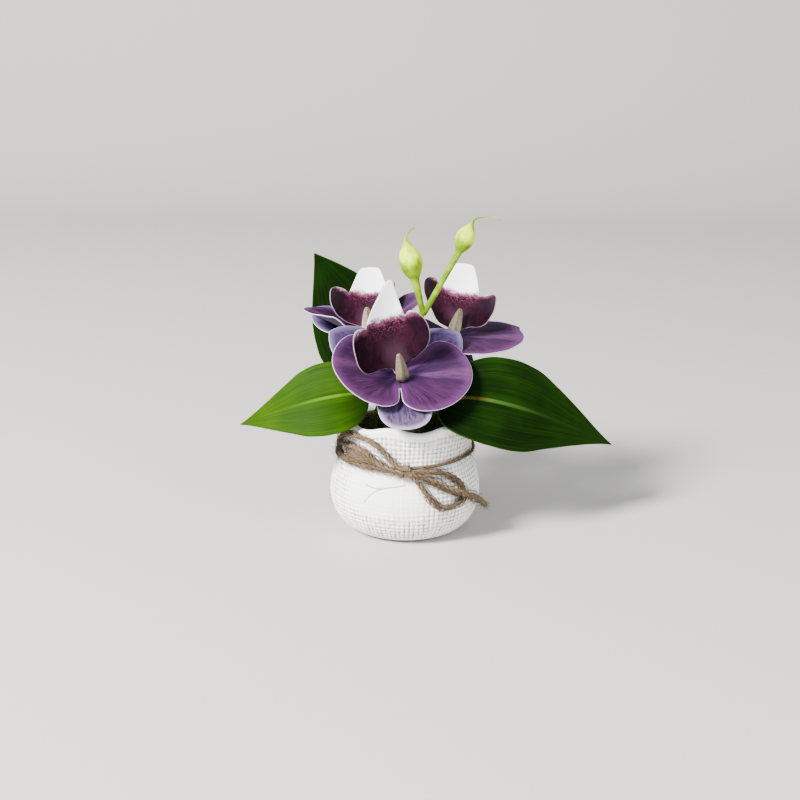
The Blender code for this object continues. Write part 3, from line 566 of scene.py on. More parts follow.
def twist(shape, path, thickness, phase):
    """Twisted plies round a path."""
    across, up = frames_along(path)
    along = lengths_along(path)
    for ply in range(PLIES):
        angle = FULL_TURN * (along / PLY_PITCH + ply / PLIES) + phase
        offset = PLY_OFFSET * thickness * (1 + 0.08 * np.sin(along * 1.9 + ply * 2))
        uneven = 1 + 0.10 * np.sin(along * 1.1 + ply) + 0.06 * np.sin(along * 3.7 + ply)
        strand = path + offset[:, None] * ray(angle, across, up)
        shape.add_tube(strand, PLY_RADIUS * thickness * uneven, PLY_SIDES, ply + phase)


def hair(shape, root, way, bend, length, radius, tone):
    """One fibre: a thin curved spike."""
    t = np.linspace(0.0, 1.0, 5)[:, None]
    path = root + way * length * t + bend * length * t * t
    shape.add_tube(path, radius * (1 - 0.75 * t[:, 0]), FIBRE_SIDES, tone)


def fuzz(shape, path, radius, random):
    """Loose fibres that stand off the twine all along it."""
    across, up = frames_along(path)
    tangents = unit(np.gradient(path, axis=0))
    for _ in range(int(lengths_along(path)[-1] * HAIRS_PER_MM)):
        k = random.integers(len(path))
        out = ray(random.uniform(0, FULL_TURN), across[k], up[k])
        way = unit(out * random.uniform(*HAIR_LEANS) + tangents[k] * random.uniform(-1.0, 1.0))
        bend = random.normal(0.0, HAIR_BEND, 3)
        hair(shape, path[k] + out * radius * 0.8, way, bend, random.uniform(*HAIR_LENGTHS),
             HAIR_RADIUS * random.uniform(0.7, 1.3), random.uniform(*FIBRE_TONES))


def wisps(shape, path, radius, random):
    """Long loose fibres that run with the twine and lift off it."""
    across, up = frames_along(path)
    reach = int(WISP_LENGTH / TWINE_STEP)
    for _ in range(int(lengths_along(path)[-1] * WISPS_PER_MM)):
        start = random.integers(max(1, len(path) - reach))
        run = slice(start, start + random.integers(reach // 2, reach))
        count = len(path[run])
        angle = random.uniform(0, FULL_TURN) + np.linspace(0, random.uniform(-1.5, 1.5), count)
        lift = radius * (0.8 + random.uniform(0.2, 1.5) * np.sin(np.linspace(0, math.pi, count)))
        wisp = path[run] + ray(angle, across[run], up[run]) * lift[:, None]
        thickness = WISP_RADIUS * random.uniform(*FIBRE_THICKNESSES)
        shape.add_tube(wisp[::2], thickness, FIBRE_SIDES, random.uniform(*FIBRE_TONES))


def bundle(shape, random):
    """The loose fibres that fill the space between the left end and the strand under it."""
    share = np.linspace(0.0, 1.0, 26)
    for _ in range(BUNDLE_FIBRES):
        turn = random.uniform(*BUNDLE_TURNS) + share * random.uniform(*BUNDLE_RUNS)
        height = random.uniform(*BUNDLE_HEIGHTS) + share * random.uniform(*BUNDLE_RISES)
        ripple = 0.35 * np.sin(share * random.uniform(4, 11) + random.uniform(0, 6))
        lift = random.uniform(-0.8, 1.6) + 0.5 * np.sin(share * math.pi)
        path = on_pot(turn, height + ripple, lift, 1.0)
        thickness = BUNDLE_RADIUS * random.uniform(*FIBRE_THICKNESSES)
        shape.add_tube(path, thickness, 4, random.uniform(*FIBRE_TONES))


def fray(shape, path, random):
    """The untwisted brush of fibres at a cut end."""
    tangent = unit(path[-1] - path[-3])
    for _ in range(FRAY_FIBRES):
        root = path[-1] - tangent * FRAY_SETBACK + random.normal(0.0, FRAY_RADIUS, 3)
        way = unit(tangent + random.normal(0.0, 0.2, 3))
        bend = random.normal(0.0, 0.15, 3)
        hair(shape, root, way, bend, random.uniform(*FRAY_LENGTHS),
             HAIR_RADIUS * random.uniform(1.2, 2.2), random.uniform(*FIBRE_TONES))


def twine_material():
    g = Graph("jute_twine", 0.9, 0.15)
    along, around, ply = g.read("strand")
    place = g.place()
    streak = g.noise(g.stretch((along, 0.35), (around, 2.4), (ply, 1.0)), 1.6, 5.0, 0.65)
    g.base(g.step(streak, 0.36, 0.68), "43352a", "8c785e")
    g.paint(g.step(g.noise(place, 0.22), 0.4, 0.75, end=0.4), "6a5a46")
    g.paint(g.step(g.noise(place, 1.5, 4.0, 0.7), 0.62, 0.8, end=0.6), "c8b088")
    return g.finish(streak, 0.25, 0.9)


def make_twine(random):
    turns = np.linspace(*NECK_TURNS, 240)
    heights = TWINE_NECK_HEIGHT + TWINE_NECK_TILT * np.sin(np.radians(turns))
    strands = {"neck": on_pot(turns, heights, 0.0, STRAND_RADII["neck"])}
    for name, stops in BOW_ROUTES.items():
        strands[name] = on_pot(*through(stops, CURVE_STEPS).T, STRAND_RADII[name])
    strands = {name: evenly(path, TWINE_STEP) for name, path in strands.items()}
    twine = Shape()
    for k, (name, path) in enumerate(strands.items()):
        radius = STRAND_RADII[name]
        twist(twine, path, radius / PLAIN_RADIUS, 1.3 * k)
        fuzz(twine, path, radius, random)
        if name != "neck":
            wisps(twine, path, radius, random)
    middle = on_pot(np.array(0.0), np.array(TWINE_NECK_HEIGHT - KNOT_DROP), KNOT_LIFT, TWINE_RADIUS)
    angle = np.linspace(0.3, FULL_TURN + 0.2, 30)
    for k, (shift, lean) in enumerate(KNOT_WRAPS):
        wrap = [shift + lean * 2.2 * np.sin(angle), -KNOT_DEPTH * np.cos(angle), KNOT_HEIGHT * np.sin(angle)]
        path = evenly(middle + np.stack(wrap, -1), TWINE_STEP)
        twist(twine, path, KNOT_THICKNESS, 0.7 + k)
        fuzz(twine, path, TWINE_RADIUS, random)
    bundle(twine, random)
    for name in ("right_tail", "left_tail"):
        fray(twine, strands[name], random)
    total = sum(lengths_along(path)[-1] for path in strands.values())
    print(f"twine {total:.0f} mm of turn, loops and ends")
    twine.piece("twine_jute", twine_material(), "jute", "twine")


# Stems

STEM_STEP = 0.9


def stem_path(top, way_out, foot, bow):
    """From a bloom's back or a leaf's base, out along way_out, then straight down into the soil at foot."""
    start = np.array(top, float)
    bottom = np.array((*foot, SOIL_TOP - STEM_DEPTH))
    mouth = np.array((*foot, SOIL_TOP + SOIL_MOUND + 1.0))
    first = start + np.array(way_out, float) * bow
    third = first * 0.4 + mouth * 0.6 + (0.0, 0.0, 1.0)
    curve = through([start, first, third, mouth + (0.0, 0.0, 3.0)], 10)
    return np.vstack([curve, mouth, (mouth + bottom) / 2, bottom])


def stem_material():
    g = Graph("stem_bark", 0.5)
    along, around, kind = g.read("strand")
    streak = g.noise(g.stretch((along, 0.12), (around, 1.0), (kind, 1.0)), 2.2, 4.0, 0.6)
    g.base(g.step(streak, 0.3, 0.7), "1c270d", "344519")
    g.paint(g.step(g.noise(g.place(), 0.3), 0.5, 0.72, end=0.7), "413a22")
    return g.finish(streak, 0.1, 0.6)


# Leaves

LEAF_OUTLINE = [(0.0, 0.10), (0.02, 0.42), (0.07, 0.68), (0.15, 0.87), (0.27, 0.985), (0.36, 1.0),
                (0.48, 0.93), (0.62, 0.69), (0.76, 0.42), (0.88, 0.19), (0.96, 0.06), (1.0, 0.012)]
BROAD_OUTLINE = [*LEAF_OUTLINE[:7], (0.62, 0.77), (0.76, 0.52), (0.88, 0.27), (0.96, 0.095), (1.0, 0.012)]
# The midrib is a curve of four points, and side is the way across the blade at its base and at its tip
# Each leaf's colours are partly its own green and partly painted light and shade: the left leaf's are lighter
# as painted light, the right and back leaves' are darker as painted shade.
LEAVES = {
    "left": {
        "midrib": [(-17.0, -17.0, 70.4), (-36.0, -25.0, 72.6), (-60.0, -19.0, 61.6), (-78.6, -9.0, 52.0)],
        "side": [(-0.10, -0.50, -0.86), (0.05, -0.60, -0.80)],
        "half_width": 17.8, "fold": 0.14, "droop": 0.10,
        "outline": LEAF_OUTLINE, "lobe": 0.0,
        "foot": (-14.5, -7.0), "stalk_out": (0.72, 0.25, -0.64), "stalk_bow": 7.0,
        "dark": "0a1e00", "middle": "1b3600", "light": "2c4800", "rib": "4a6c14",
        "rib_start": "3c5c10", "tip_share": 0.55,
    },
    "right": {
        "midrib": [(20.5, -20.5, 69.6), (43.0, -26.0, 73.3), (74.0, -7.5, 55.0), (101.5, 14.0, 37.4)],
        "side": [(0.12, 0.58, 0.81), (0.34, 0.30, 0.89)],
        "half_width": 21.6, "fold": 0.06, "droop": 0.10,
        "outline": LEAF_OUTLINE, "lobe": 7.0,
        "foot": (13.5, -8.5), "stalk_out": (-0.60, 0.60, -0.53), "stalk_bow": 6.0,
        "dark": "010a00", "middle": "061800", "light": "102c00", "rib": "34501c",
        "rib_start": "40390f", "tip_share": 0.6,
    },
    "back": {
        "midrib": [(-7.0, 26.5, 63.0), (-23.0, 32.0, 84.0), (-31.5, 36.0, 106.0), (-46.0, 37.0, 126.6)],
        "side": [(-0.85, -0.03, -0.50), (-0.80, 0.02, -0.58)],
        "half_width": 23.6, "fold": 0.12, "droop": 0.08,
        "outline": BROAD_OUTLINE, "lobe": 0.0,
        "foot": (-5.0, 15.5), "stalk_out": (0.35, -0.40, -0.85), "stalk_bow": 5.0,
        "dark": "010a00", "middle": "031200", "light": "0a2400", "rib": "0d2804",
        "rib_start": "0d2804", "tip_share": 0.3,
    },
}
STALK_RADIUS = 1.15
# Where the stalk starts inside the blade and where it leaves it, as shares of the midrib
STALK_JOINT = 0.10
STALK_START = 0.02
LOBE_ENDS = (0.0, 0.45)
LEAF_ROWS = 110
LEAF_COLUMNS = 46
LEAF_EDGE_INSET = 0.35
RIB_HEIGHT = 0.38
SIDE_VEINS = (0.14, 0.30, 0.47, 0.64, 0.81)
SIDE_VEIN_DEPTH = 0.09
RIB_WIDTH = 0.045
SIDE_VEIN_WIDTH = 0.022
STALK_SIDES = 14
# What the material reads on a stalk: the share of the midrib, the middle of the blade, the upper face
STALK_FACTS = (0.12, 0.0, 1.0)
STALK_MARGIN = 5.0


def bezier(control, t):
    """The point at t on the curve with those four control points."""
    a, b, c, d = np.array(control, float)
    t = t[..., None]
    s = 1 - t
    return a * s ** 3 + b * (3 * s * s * t) + c * (3 * s * t * t) + d * t ** 3


def bezier_slope(control, t):
    a, b, c, d = np.array(control, float)
    t = t[..., None]
    s = 1 - t
    return unit((b - a) * s * s + (c - b) * (2 * s * t) + (d - c) * t * t)


def leaf_point(leaf, t, v):
    """(point, normal) of the leaf's middle surface, t from base to tip and v from -1 to 1 across."""
    along = bezier_slope(leaf["midrib"], t)
    base, tip = np.array(leaf["side"])
    side = base + (tip - base) * t[..., None]
    side = unit(side - along * (side * along).sum(-1, keepdims=True))
    up = unit(np.cross(side, along))
    across = v * leaf["half_width"] * eased(leaf["outline"], t)
    rise = leaf["fold"] * np.abs(across) - leaf["droop"] * across ** 2 / leaf["half_width"]
    back = leaf["lobe"] * np.maximum(0.0, -v) ** 1.5 * (1 - smoothstep(*LOBE_ENDS, t))
    middle = bezier(leaf["midrib"], t)
    return middle + side * across[..., None] + up * rise[..., None] - along * back[..., None], up


def leaf_relief(t, v):
    """Height in millimetres of the veins on the leaf's face."""
    rib = RIB_HEIGHT * np.exp(-(v / RIB_WIDTH) ** 2) * (1 - smoothstep(0.2, 0.75, t))
    side = sum(np.exp(-((np.abs(v) - place) / SIDE_VEIN_WIDTH) ** 2) for place in SIDE_VEINS)
    return rib - SIDE_VEIN_DEPTH * side * smoothstep(0.02, 0.15, t) * (1 - smoothstep(0.75, 0.98, t))


def leaf_material(name, leaf):
    g = Graph(f"leaf_{name}_veined", 0.55, 0.03)
    t, v, side = g.read("leaf")
    width = g.read_one("margin")
    fine = g.noise(g.stretch((t, 2.2), (v, 30.0), (side, 1.0)), 1.0, 4.0, 0.6, 0.3)
    broad = g.noise(g.stretch((t, 1.4), (v, 7.0), (side, 1.0)), 1.0, 2.0, 0.5, 0.4)
    patch = g.step(g.noise(g.place(), 0.05, 2.0), 0.35, 0.7, -0.15, 0.35)
    light = g.math("ADD", g.step(t, 0.05, 0.95, 0.05, leaf["tip_share"]), patch)
    light = g.math("ADD", light, g.step(broad, 0.35, 0.65, -0.22, 0.22), clamp=True)
    # The leaf's palette is partly its own green and partly painted light and shade.
    g.base(light, leaf["middle"], leaf["light"])
    # Darker towards the base: partly the leaf's own tone, partly painted shade under the blooms.
    g.paint(g.step(t, 0.0, 0.3, 0.85, 0.0), leaf["dark"])
    g.paint(g.step(fine, 0.5, 0.72, end=0.5), leaf["dark"])
    g.paint(g.step(fine, 0.46, 0.28, end=0.16), leaf["rib"])
    rib = g.times(g.step(g.size(v), 0.022, 0.055, 1.0, 0.0), g.step(t, 0.25, 0.62, 0.9, 0.12))
    g.paint(rib, g.mix(g.step(t, 0.25, 0.20), srgb(leaf["rib"]), srgb(leaf["rib_start"])))
    g.paint(g.step(width, 0.15, 0.5, 0.35, 0.0), "446a10")
    g.paint(g.step(side, -0.4, 0.4, end=0.4), "2f451c")
    return g.finish(fine, 0.14, 0.55)


def make_leaf(name, leaf):
    t = np.linspace(0.0, 1.0, LEAF_ROWS)[:, None]
    inner = np.linspace(-1.0, 1.0, LEAF_COLUMNS)
    face = np.full(LEAF_COLUMNS, 0.5)
    v = np.concatenate([inner, [1.0], inner[::-1], [-1.0]])
    height = np.concatenate([face, [0.0], -face, [0.0]])
    t, v, height = np.broadcast_arrays(t, v, height)
    half = leaf["half_width"] * eased(leaf["outline"], t)
    inset = np.minimum(LEAF_EDGE_INSET, half * 0.4) / half * (height != 0)
    placed = v * (1 - inset)
    points, up = leaf_point(leaf, t, placed)
    thick = np.minimum(LEAF_THICKNESS, half * 1.2)
    offset = height * thick + leaf_relief(t, placed) * np.sign(height)
    blade = Shape()
    blade.add_loops(points + up * offset[..., None], leaf=np.stack([t, placed, height * 2], -1),
                    margin=(1 - np.abs(placed)) * half)
    ends, normals = leaf_point(leaf, np.array([STALK_JOINT, STALK_START]), np.zeros(2))
    path = stem_path(ends[1] - normals[1] * 0.6, leaf["stalk_out"], leaf["foot"], leaf["stalk_bow"])
    path = evenly(np.vstack([ends[0] - normals[0] * 0.5, path]), STEM_STEP)
    stalk, _ = tube_loops(path, STALK_RADIUS * smoothstep(-4.0, 3.0, lengths_along(path)), STALK_SIDES)
    facts = np.broadcast_to(STALK_FACTS, stalk.shape)
    blade.add_loops(stalk, leaf=facts, margin=np.full(stalk.shape[:2], STALK_MARGIN))
    blade.piece(f"leaf_{name}_veined", leaf_material(name, leaf), "leaf_green", f"leaf_{name}")


# Blooms

PETAL_OUTLINE = [(0.4, -8.0), (0.6, -12.5), (1.3, -16.9), (5.0, -20.4), (12.0, -21.5), (20.6, -18.8),
                 (27.6, -13.4), (32.4, -6.6), (33.8, 1.0), (31.6, 8.6), (27.0, 14.6), (21.4, 17.4),
                 (16.0, 16.4), (10.4, 11.6), (5.6, 7.2), (2.4, 4.6)]
LIP_OUTLINE = [(2.0, 0.2), (2.7, 3.2), (6.6, 4.6), (13.0, 6.0), (19.0, 9.6), (22.4, 15.8), (22.0, 22.0),
               (18.6, 26.6), (14.2, 28.0), (10.3, 26.0)]
LIP_KITE = [(10.3, 26.0), (6.8, 33.2), (2.9, 41.0), (1.6, 43.4), (0.0, 44.0)]
BLUNT_KITE = [(10.3, 26.0), (8.2, 33.2), (5.8, 40.4), (4.2, 43.0), (0.0, 43.8)]
LOBE_REACH = (7.0, 16.0)
LIP_MIDDLE = (0.0, 17.0)
SEPAL_HALF_WIDTH = 12.4
SEPAL_OUTLINE = [(0.16, 0.55), (0.30, 0.80), (0.45, 0.96), (0.58, 1.0), (0.72, 0.89), (0.86, 0.60),
                 (0.95, 0.30), (1.0, 0.0)]
LOW_SEPAL_OUTLINE = [(0.16, 0.55), (0.30, 0.80), (0.45, 0.96), (0.60, 1.0), (0.77, 0.93), (0.90, 0.72),
                     (0.97, 0.42), (1.0, 0.0)]
SEPAL_TURNS = (-90.0, 34.0, 144.0)
SEPAL_VALLEY = 6.4
# How the flat layers are bent. A pair says how far from the centre a bend starts and where it is complete.
LAYER_REACH = 42.0
LAYER_STEPS = 8
LIP_STEPS = 10
LAYER_BEND = (1.0, 12.0)
PETAL_RECURVE = 0.8
SEPAL_RECURVE = 0.4
PETAL_TIP_BEND = (3.5, 16.0)
LIP_FIRST_BEND = (0.0, 3.0)
LIP_SECOND_BEND = (16.0, 36.0)
LIP_UNROLL = (27.0, 42.0)
LIP_UNROLL_RADIUS = 26.0
LIP_LEAN = (26.0, 46.0)
SEPAL_HEIGHT = 0.0
PETAL_HEIGHT = SEPAL_HEIGHT + PETAL_THICKNESS + GAP + 0.1
LIP_HEIGHT = PETAL_HEIGHT + PETAL_THICKNESS + GAP + 0.4
COLUMN_LENGTH = 12.5
COLUMN_LIFT = 1.2
COLUMN_OPENING = 12.0
COLUMN_EDGE = 0.35
# Sections of the column, as (share of its length, half width, height of its ridge)
COLUMN_SECTIONS = [(0.0, 3.3, 1.0), (0.3, 3.0, 1.6), (0.65, 2.2, 1.4), (0.9, 1.4, 0.9), (1.0, 0.7, 0.45)]
COLUMN_FOOT_HALF_WIDTH = 2.4
COLUMN_FOOT_SHARE = 0.14
COLUMN_FOOT_HEIGHT = PETAL_HEIGHT + PETAL_THICKNESS / 2 + GAP + 0.35
COLUMN_RIDGE_AT = -0.12
COLUMN_RIDGE_WIDTH = 0.42
COLUMN_SIDES = 40
# Angles are in degrees. A rise is how steeply a lobe climbs from the bloom's face: of the left and the right
# petal, of the sepals in the order of SEPAL_TURNS, and of the lip near the centre and at its tip.
BLOOMS = {
    "front": {
        "centre": (-3.5, -22.0, 80.2), "azimuth": 6.0, "elevation": 46.5, "roll": -1.5,
        "petal_rise": (32.0, 4.0), "petal_tip": (0.0, 0.0),
        "sepal_rise": (6.0, -2.0, 18.0), "sepal_turn": 6.0, "sepal_lengths": (30.0, 39.0, 38.2),
        "lip_rise": (44.0, 48.0), "lip_turn": 22.0,
        "kite": LIP_KITE, "lobe_shift": ((-2.6, -0.8), (-3.0, 0.0)),
        "lip_roll": (25.0, 19.5), "lip_length": 0.98, "tip_lean": 6.0, "column_base": -3.8,
        "column_turn": 22.0, "foot": (-2.0, -8.0), "stem_bow": 8.0,
    },
    "left": {
        "centre": (-18.2, 9.0, 91.7), "azimuth": -18.0, "elevation": 77.0, "roll": 11.0,
        "petal_rise": (37.0, 53.0), "petal_tip": (-0.3, 0.0),
        "sepal_rise": (-90.0, 38.0, 12.0), "sepal_turn": 0.0, "sepal_lengths": (28.0, 22.0, 37.0),
        "lip_rise": (33.0, 50.0), "lip_turn": 4.0,
        "kite": BLUNT_KITE, "lobe_shift": ((0.0, 0.0), (0.0, 0.0)),
        "lip_roll": (19.5, 13.0), "lip_length": 0.82, "tip_lean": 0.0, "column_base": -3.2,
        "column_turn": 10.0, "foot": (-8.0, 7.0), "stem_bow": 9.0,
    },
    "right": {
        "centre": (22.4, 12.5, 90.6), "azimuth": 20.0, "elevation": 77.0, "roll": -27.5,
        "petal_rise": (-5.0, 10.0), "petal_tip": (0.0, 0.0),
        "sepal_rise": (-75.0, 2.0, -70.0), "sepal_turn": 0.0, "sepal_lengths": (30.0, 37.0, 28.0),
        "lip_rise": (30.0, 62.0), "lip_turn": 1.0,
        "kite": BLUNT_KITE, "lobe_shift": ((0.5, 5.5), (0.0, -3.0)),
        "lip_roll": (20.0, 20.0), "lip_length": 0.90, "tip_lean": 0.0, "column_base": -1.4,
        "column_turn": -10.0, "foot": (12.0, 8.0), "stem_bow": 9.0,
    },
}
STEM_RADIUS = 1.3
STEM_SIDES = 16
RECEPTACLE_RADIUS = 1.4
RECEPTACLE_CLEARANCE = 0.55
RIM_POINTS = 0.75
SHEET_RINGS = 26
# How the cut edge is rounded: (distance in from the outline, height as a share of the thickness)
EDGE_LOOPS = [(0.7, 0.5), (0.25, 0.36), (0.06, 0.22), (0.0, 0.0), (0.06, -0.22), (0.25, -0.36), (0.7, -0.5)]
EDGE_INSET = EDGE_LOOPS[0][0]
# The step over which a sheet's slope is measured, and how far in from the outline the pale edge fades out
FLAT_STEP = 0.05
CUT_EDGE = (0.05, 0.24)


def bloom_frame(bloom):
    """Local Z is the way that the bloom faces and local Y points to its lip. In millimetres."""
    turn = Matrix.Rotation(math.radians(bloom["azimuth"]), 4, "Z")
    tilt = Matrix.Rotation(math.radians(90.0 - bloom["elevation"]), 4, "X")
    roll = Matrix.Rotation(math.radians(bloom["roll"]), 4, "Z")
    return np.array(Matrix.Translation(Vector(bloom["centre"])) @ turn @ tilt @ roll)


def in_frame(matrix, points):
    return points @ matrix[:3, :3].T + matrix[:3, 3]


def climb(distance, slope, steps):
    """(outward, upward) reach of a strip of that length that rises by slope at each distance along it."""
    out = up = 0.0
    for k in range(steps):
        rise = slope(distance * (k + 0.5) / steps)
        out = out + np.cos(rise) * distance / steps
        up = up + np.sin(rise) * distance / steps
    return out, up


def bent_distance(distance, rise, recurve):
    """The reach of a strip that climbs by its rise, in degrees, and levels out again near its end by the
    recurve share."""

    def slope(r):
        return np.radians(rise) * smoothstep(*LAYER_BEND, r) * (1 - recurve * (r / LAYER_REACH) ** 2)

    return climb(distance, slope, LAYER_STEPS)


def petal_place(bloom):
    """Petals are cupped: each ray from the centre climbs by itself."""
    left, right = bloom["petal_rise"]

    def place(x, y):
        radius = np.maximum(np.hypot(x, y), 1e-6)
        out, up = bent_distance(radius, left + (right - left) * (0.5 + 0.5 * x / radius), PETAL_RECURVE)
        tip = np.where(x < 0, *bloom["petal_tip"]) * smoothstep(*PETAL_TIP_BEND, np.abs(x))
        return np.stack([x * out / radius, y * out / radius, PETAL_HEIGHT + up + tip * y], -1)

    return place


def sepal_place(bloom):
    """Sepals are bent: each lobe climbs or hangs along its own midline and keeps its width."""

    def place(x, y):
        radius = np.maximum(np.hypot(x, y), 1e-6)
        total, weight = 0.0, 0.0
        for turn, rise in zip(SEPAL_TURNS, bloom["sepal_rise"]):
            angle = math.radians(turn + bloom["sepal_turn"])
            along, across = turned(x, y, -angle)
            out, up = bent_distance(np.maximum(along, 0.0), rise, SEPAL_RECURVE)
            placed = turned(out + np.minimum(along, 0.0), across, angle)
            share = (np.maximum(0.0, along / radius + 0.3) ** 5 + 1e-6)[..., None]
            total = total + share * np.stack([*placed, SEPAL_HEIGHT + up], -1)
            weight = weight + share
        return total / weight

    return place


def lip_place(bloom):
    """The lip is rolled like a gutter and bent up from the centre, and its tip flattens and leans over."""
    cup, tip = bloom["lip_rise"]
    left, right = bloom["lobe_shift"]

    def slope(v):
        bent = cup * smoothstep(*LIP_FIRST_BEND, v) + (tip - cup) * smoothstep(*LIP_SECOND_BEND, v)
        return np.radians(bent)

    def place(x, y):
        share = smoothstep(*LOBE_REACH, np.abs(x))
        reach = (y + np.where(x < 0, left[1], right[1]) * share) * bloom["lip_length"]
        x = x + np.where(x < 0, left[0], right[0]) * share
        ahead, up = climb(reach, slope, LIP_STEPS)
        radius = np.where(x < 0, *bloom["lip_roll"]) + LIP_UNROLL_RADIUS * smoothstep(*LIP_UNROLL, reach)
        across = radius * np.sin(x / radius) + bloom["tip_lean"] * smoothstep(*LIP_LEAN, reach)
        lift = radius * (1 - np.cos(x / radius))
        ahead = ahead - np.sin(slope(reach)) * lift
        up = LIP_HEIGHT + up + np.cos(slope(reach)) * lift
        return np.stack([*turned(across, ahead, math.radians(bloom["lip_turn"])), up], -1)

    return place


def mirrored(half):
    """A whole outline from its right half, which runs from the bottom to the top."""
    half = np.array(half)
    left = half[::-1] * (-1, 1)
    return np.vstack([half, left[np.abs(left[:, 0]) > 1e-6]])


def lip_outline(bloom):
    lobes = through(LIP_OUTLINE, CURVE_STEPS)[:-1]
    return mirrored(np.vstack([lobes, through(bloom["kite"], CURVE_STEPS)]))


def sepal_outline(bloom):
    """Three lobes round the centre, the lowest of them blunt, with valleys between them at SEPAL_VALLEY."""
    outline = []
    for k, turn in enumerate(SEPAL_TURNS):
        form = LOW_SEPAL_OUTLINE if k == 0 else SEPAL_OUTLINE
        side = through([(t * bloom["sepal_lengths"][k], w * SEPAL_HALF_WIDTH) for t, w in form], 5)
        lobe = np.vstack([side * (1, -1), side[-2::-1]])
        following = SEPAL_TURNS[(k + 1) % 3] + (360.0 if k == 2 else 0.0)
        valley = math.radians((turn + following) / 2 + bloom["sepal_turn"])
        outline.append(np.stack(turned(*lobe.T, math.radians(turn + bloom["sepal_turn"])), -1))
        outline.append(np.array([turned(SEPAL_VALLEY, 0.0, valley)]))
    return np.vstack(outline)


def edge_distance(flat, outline):
    """Distance from each flat point to the outline."""
    nearest = np.full(len(flat), 1e9)
    for a, b in zip(outline, np.roll(outline, -1, axis=0)):
        span = b - a
        t = np.clip(((flat - a) @ span) / max(span @ span, 1e-9), 0.0, 1.0)
        nearest = np.minimum(nearest, np.linalg.norm(flat - a - t[:, None] * span, axis=1))
    return nearest


def sheet_shape(outline, middle, place, matrix, wave):
    """A closed sheet cut to the outline and bent by place, with a rounded cut edge."""
    outline = evenly(outline, RIM_POINTS, closed=True)
    spoke = outline - middle
    span = np.linalg.norm(spoke, axis=1, keepdims=True)
    face = [middle + spoke * share * (1 - EDGE_INSET / span)
            for share in np.linspace(0.0, 1.0, SHEET_RINGS + 1)[1:-1]]
    edge = [middle + spoke * (1 - inset / span) for inset, _ in EDGE_LOOPS]
    flat = np.array([*face, *edge, *face[::-1]])
    height = [0.5] * len(face) + [height for _, height in EDGE_LOOPS] + [-0.5] * len(face)
    height = np.array(height)[:, None] * np.ones(len(outline))
    x, y = flat[..., 0], flat[..., 1]
    along = place(x + FLAT_STEP, y) - place(x - FLAT_STEP, y)
    across = place(x, y + FLAT_STEP) - place(x, y - FLAT_STEP)
    normal = unit(np.cross(along, across))
    margin = edge_distance(flat.reshape(-1, 2), outline).reshape(x.shape)
    lift = wave(x, y) + height * PETAL_THICKNESS
    points = in_frame(matrix, place(x, y) + normal * lift[..., None])
    shape = Shape()
    shape.add_loops(points, flat=np.stack([x, y, height * 2], -1), margin=margin)
    return shape


def petal_wave(x, y):
    """Shallow radial pleats and a faintly rippled edge."""
    radius, angle = np.hypot(x, y), np.arctan2(y, np.abs(x))
    pleats = 0.10 * np.sin(angle * 17 + 0.6 * np.sin(radius * 0.3)) + 0.16 * np.sin(angle * 5 + 1)
    return pleats * smoothstep(8.0, 24.0, radius)


def sepal_wave(x, y):
    return 0.08 * np.sin(np.arctan2(y, x) * 24) * smoothstep(10.0, 22.0, np.hypot(x, y))


def lip_wave(x, y):
    return 0.10 * np.sin(np.abs(x) * 0.9 + y * 0.35) * smoothstep(6.0, 14.0, np.abs(x))


def polar(g, x, y):
    """(angle, radius) of a flat point."""
    return g.math("ARCTAN2", y, x), g.math("SQRT", g.math("ADD", g.times(x, x), g.times(y, y)))


def petal_material():
    g = Graph("petal_coated", 0.6, 0.05)
    x, y, side = g.read("flat")
    margin = g.read_one("margin")
    angle, radius = polar(g, g.size(x), y)
    half = g.step(x, -0.5, 0.5)
    veins = g.noise(g.stretch((angle, 16.0), (radius, 0.10), (half, 7.0)), 1.0, 4.0, 0.6, 0.5)
    broad = g.noise(g.stretch((angle, 4.0), (radius, 0.04), (half, 1.0)), 1.0, 2.0)
    thread = g.noise(g.stretch((angle, 34.0), (radius, 0.08), (half, 1.0)), 1.0, 3.0, 0.6)
    mottle = g.noise(g.join(x, y, side), 0.9, 4.0, 0.7)
    g.base(g.step(radius, 3.0, 20.0), "180b29", "28152f")
    g.paint(g.step(y, 4.0, -16.0, end=0.7), "3a1c38")
    g.paint(g.step(broad, 0.45, 0.72, end=0.6), "442749")
    g.paint(g.times(g.step(g.size(angle), 0.16, 0.01), g.step(radius, 4.0, 14.0, end=0.5)), "5c3a5c")
    g.paint(g.times(g.step(thread, 0.52, 0.66), g.step(angle, 0.0, -0.7, 0.25, 0.8)), "1a0a26")
    g.paint(g.step(veins, 0.5, 0.7, end=0.6), "1e0a26")
    g.paint(g.step(veins, 0.46, 0.3, end=0.3), "5f325f")
    g.paint(g.step(mottle, 0.5, 0.75, end=0.25), "1e0a26")
    g.paint(g.step(margin, 0.6, 5.0, 0.5, 0.0), "54305a")
    g.paint(g.step(side, 0.3, -0.3, end=0.55), "3c2a4c")
    g.paint(g.step(margin, *CUT_EDGE, 0.9, 0.0), "c9b4cc")
    return g.finish(veins, 0.12, 0.6)


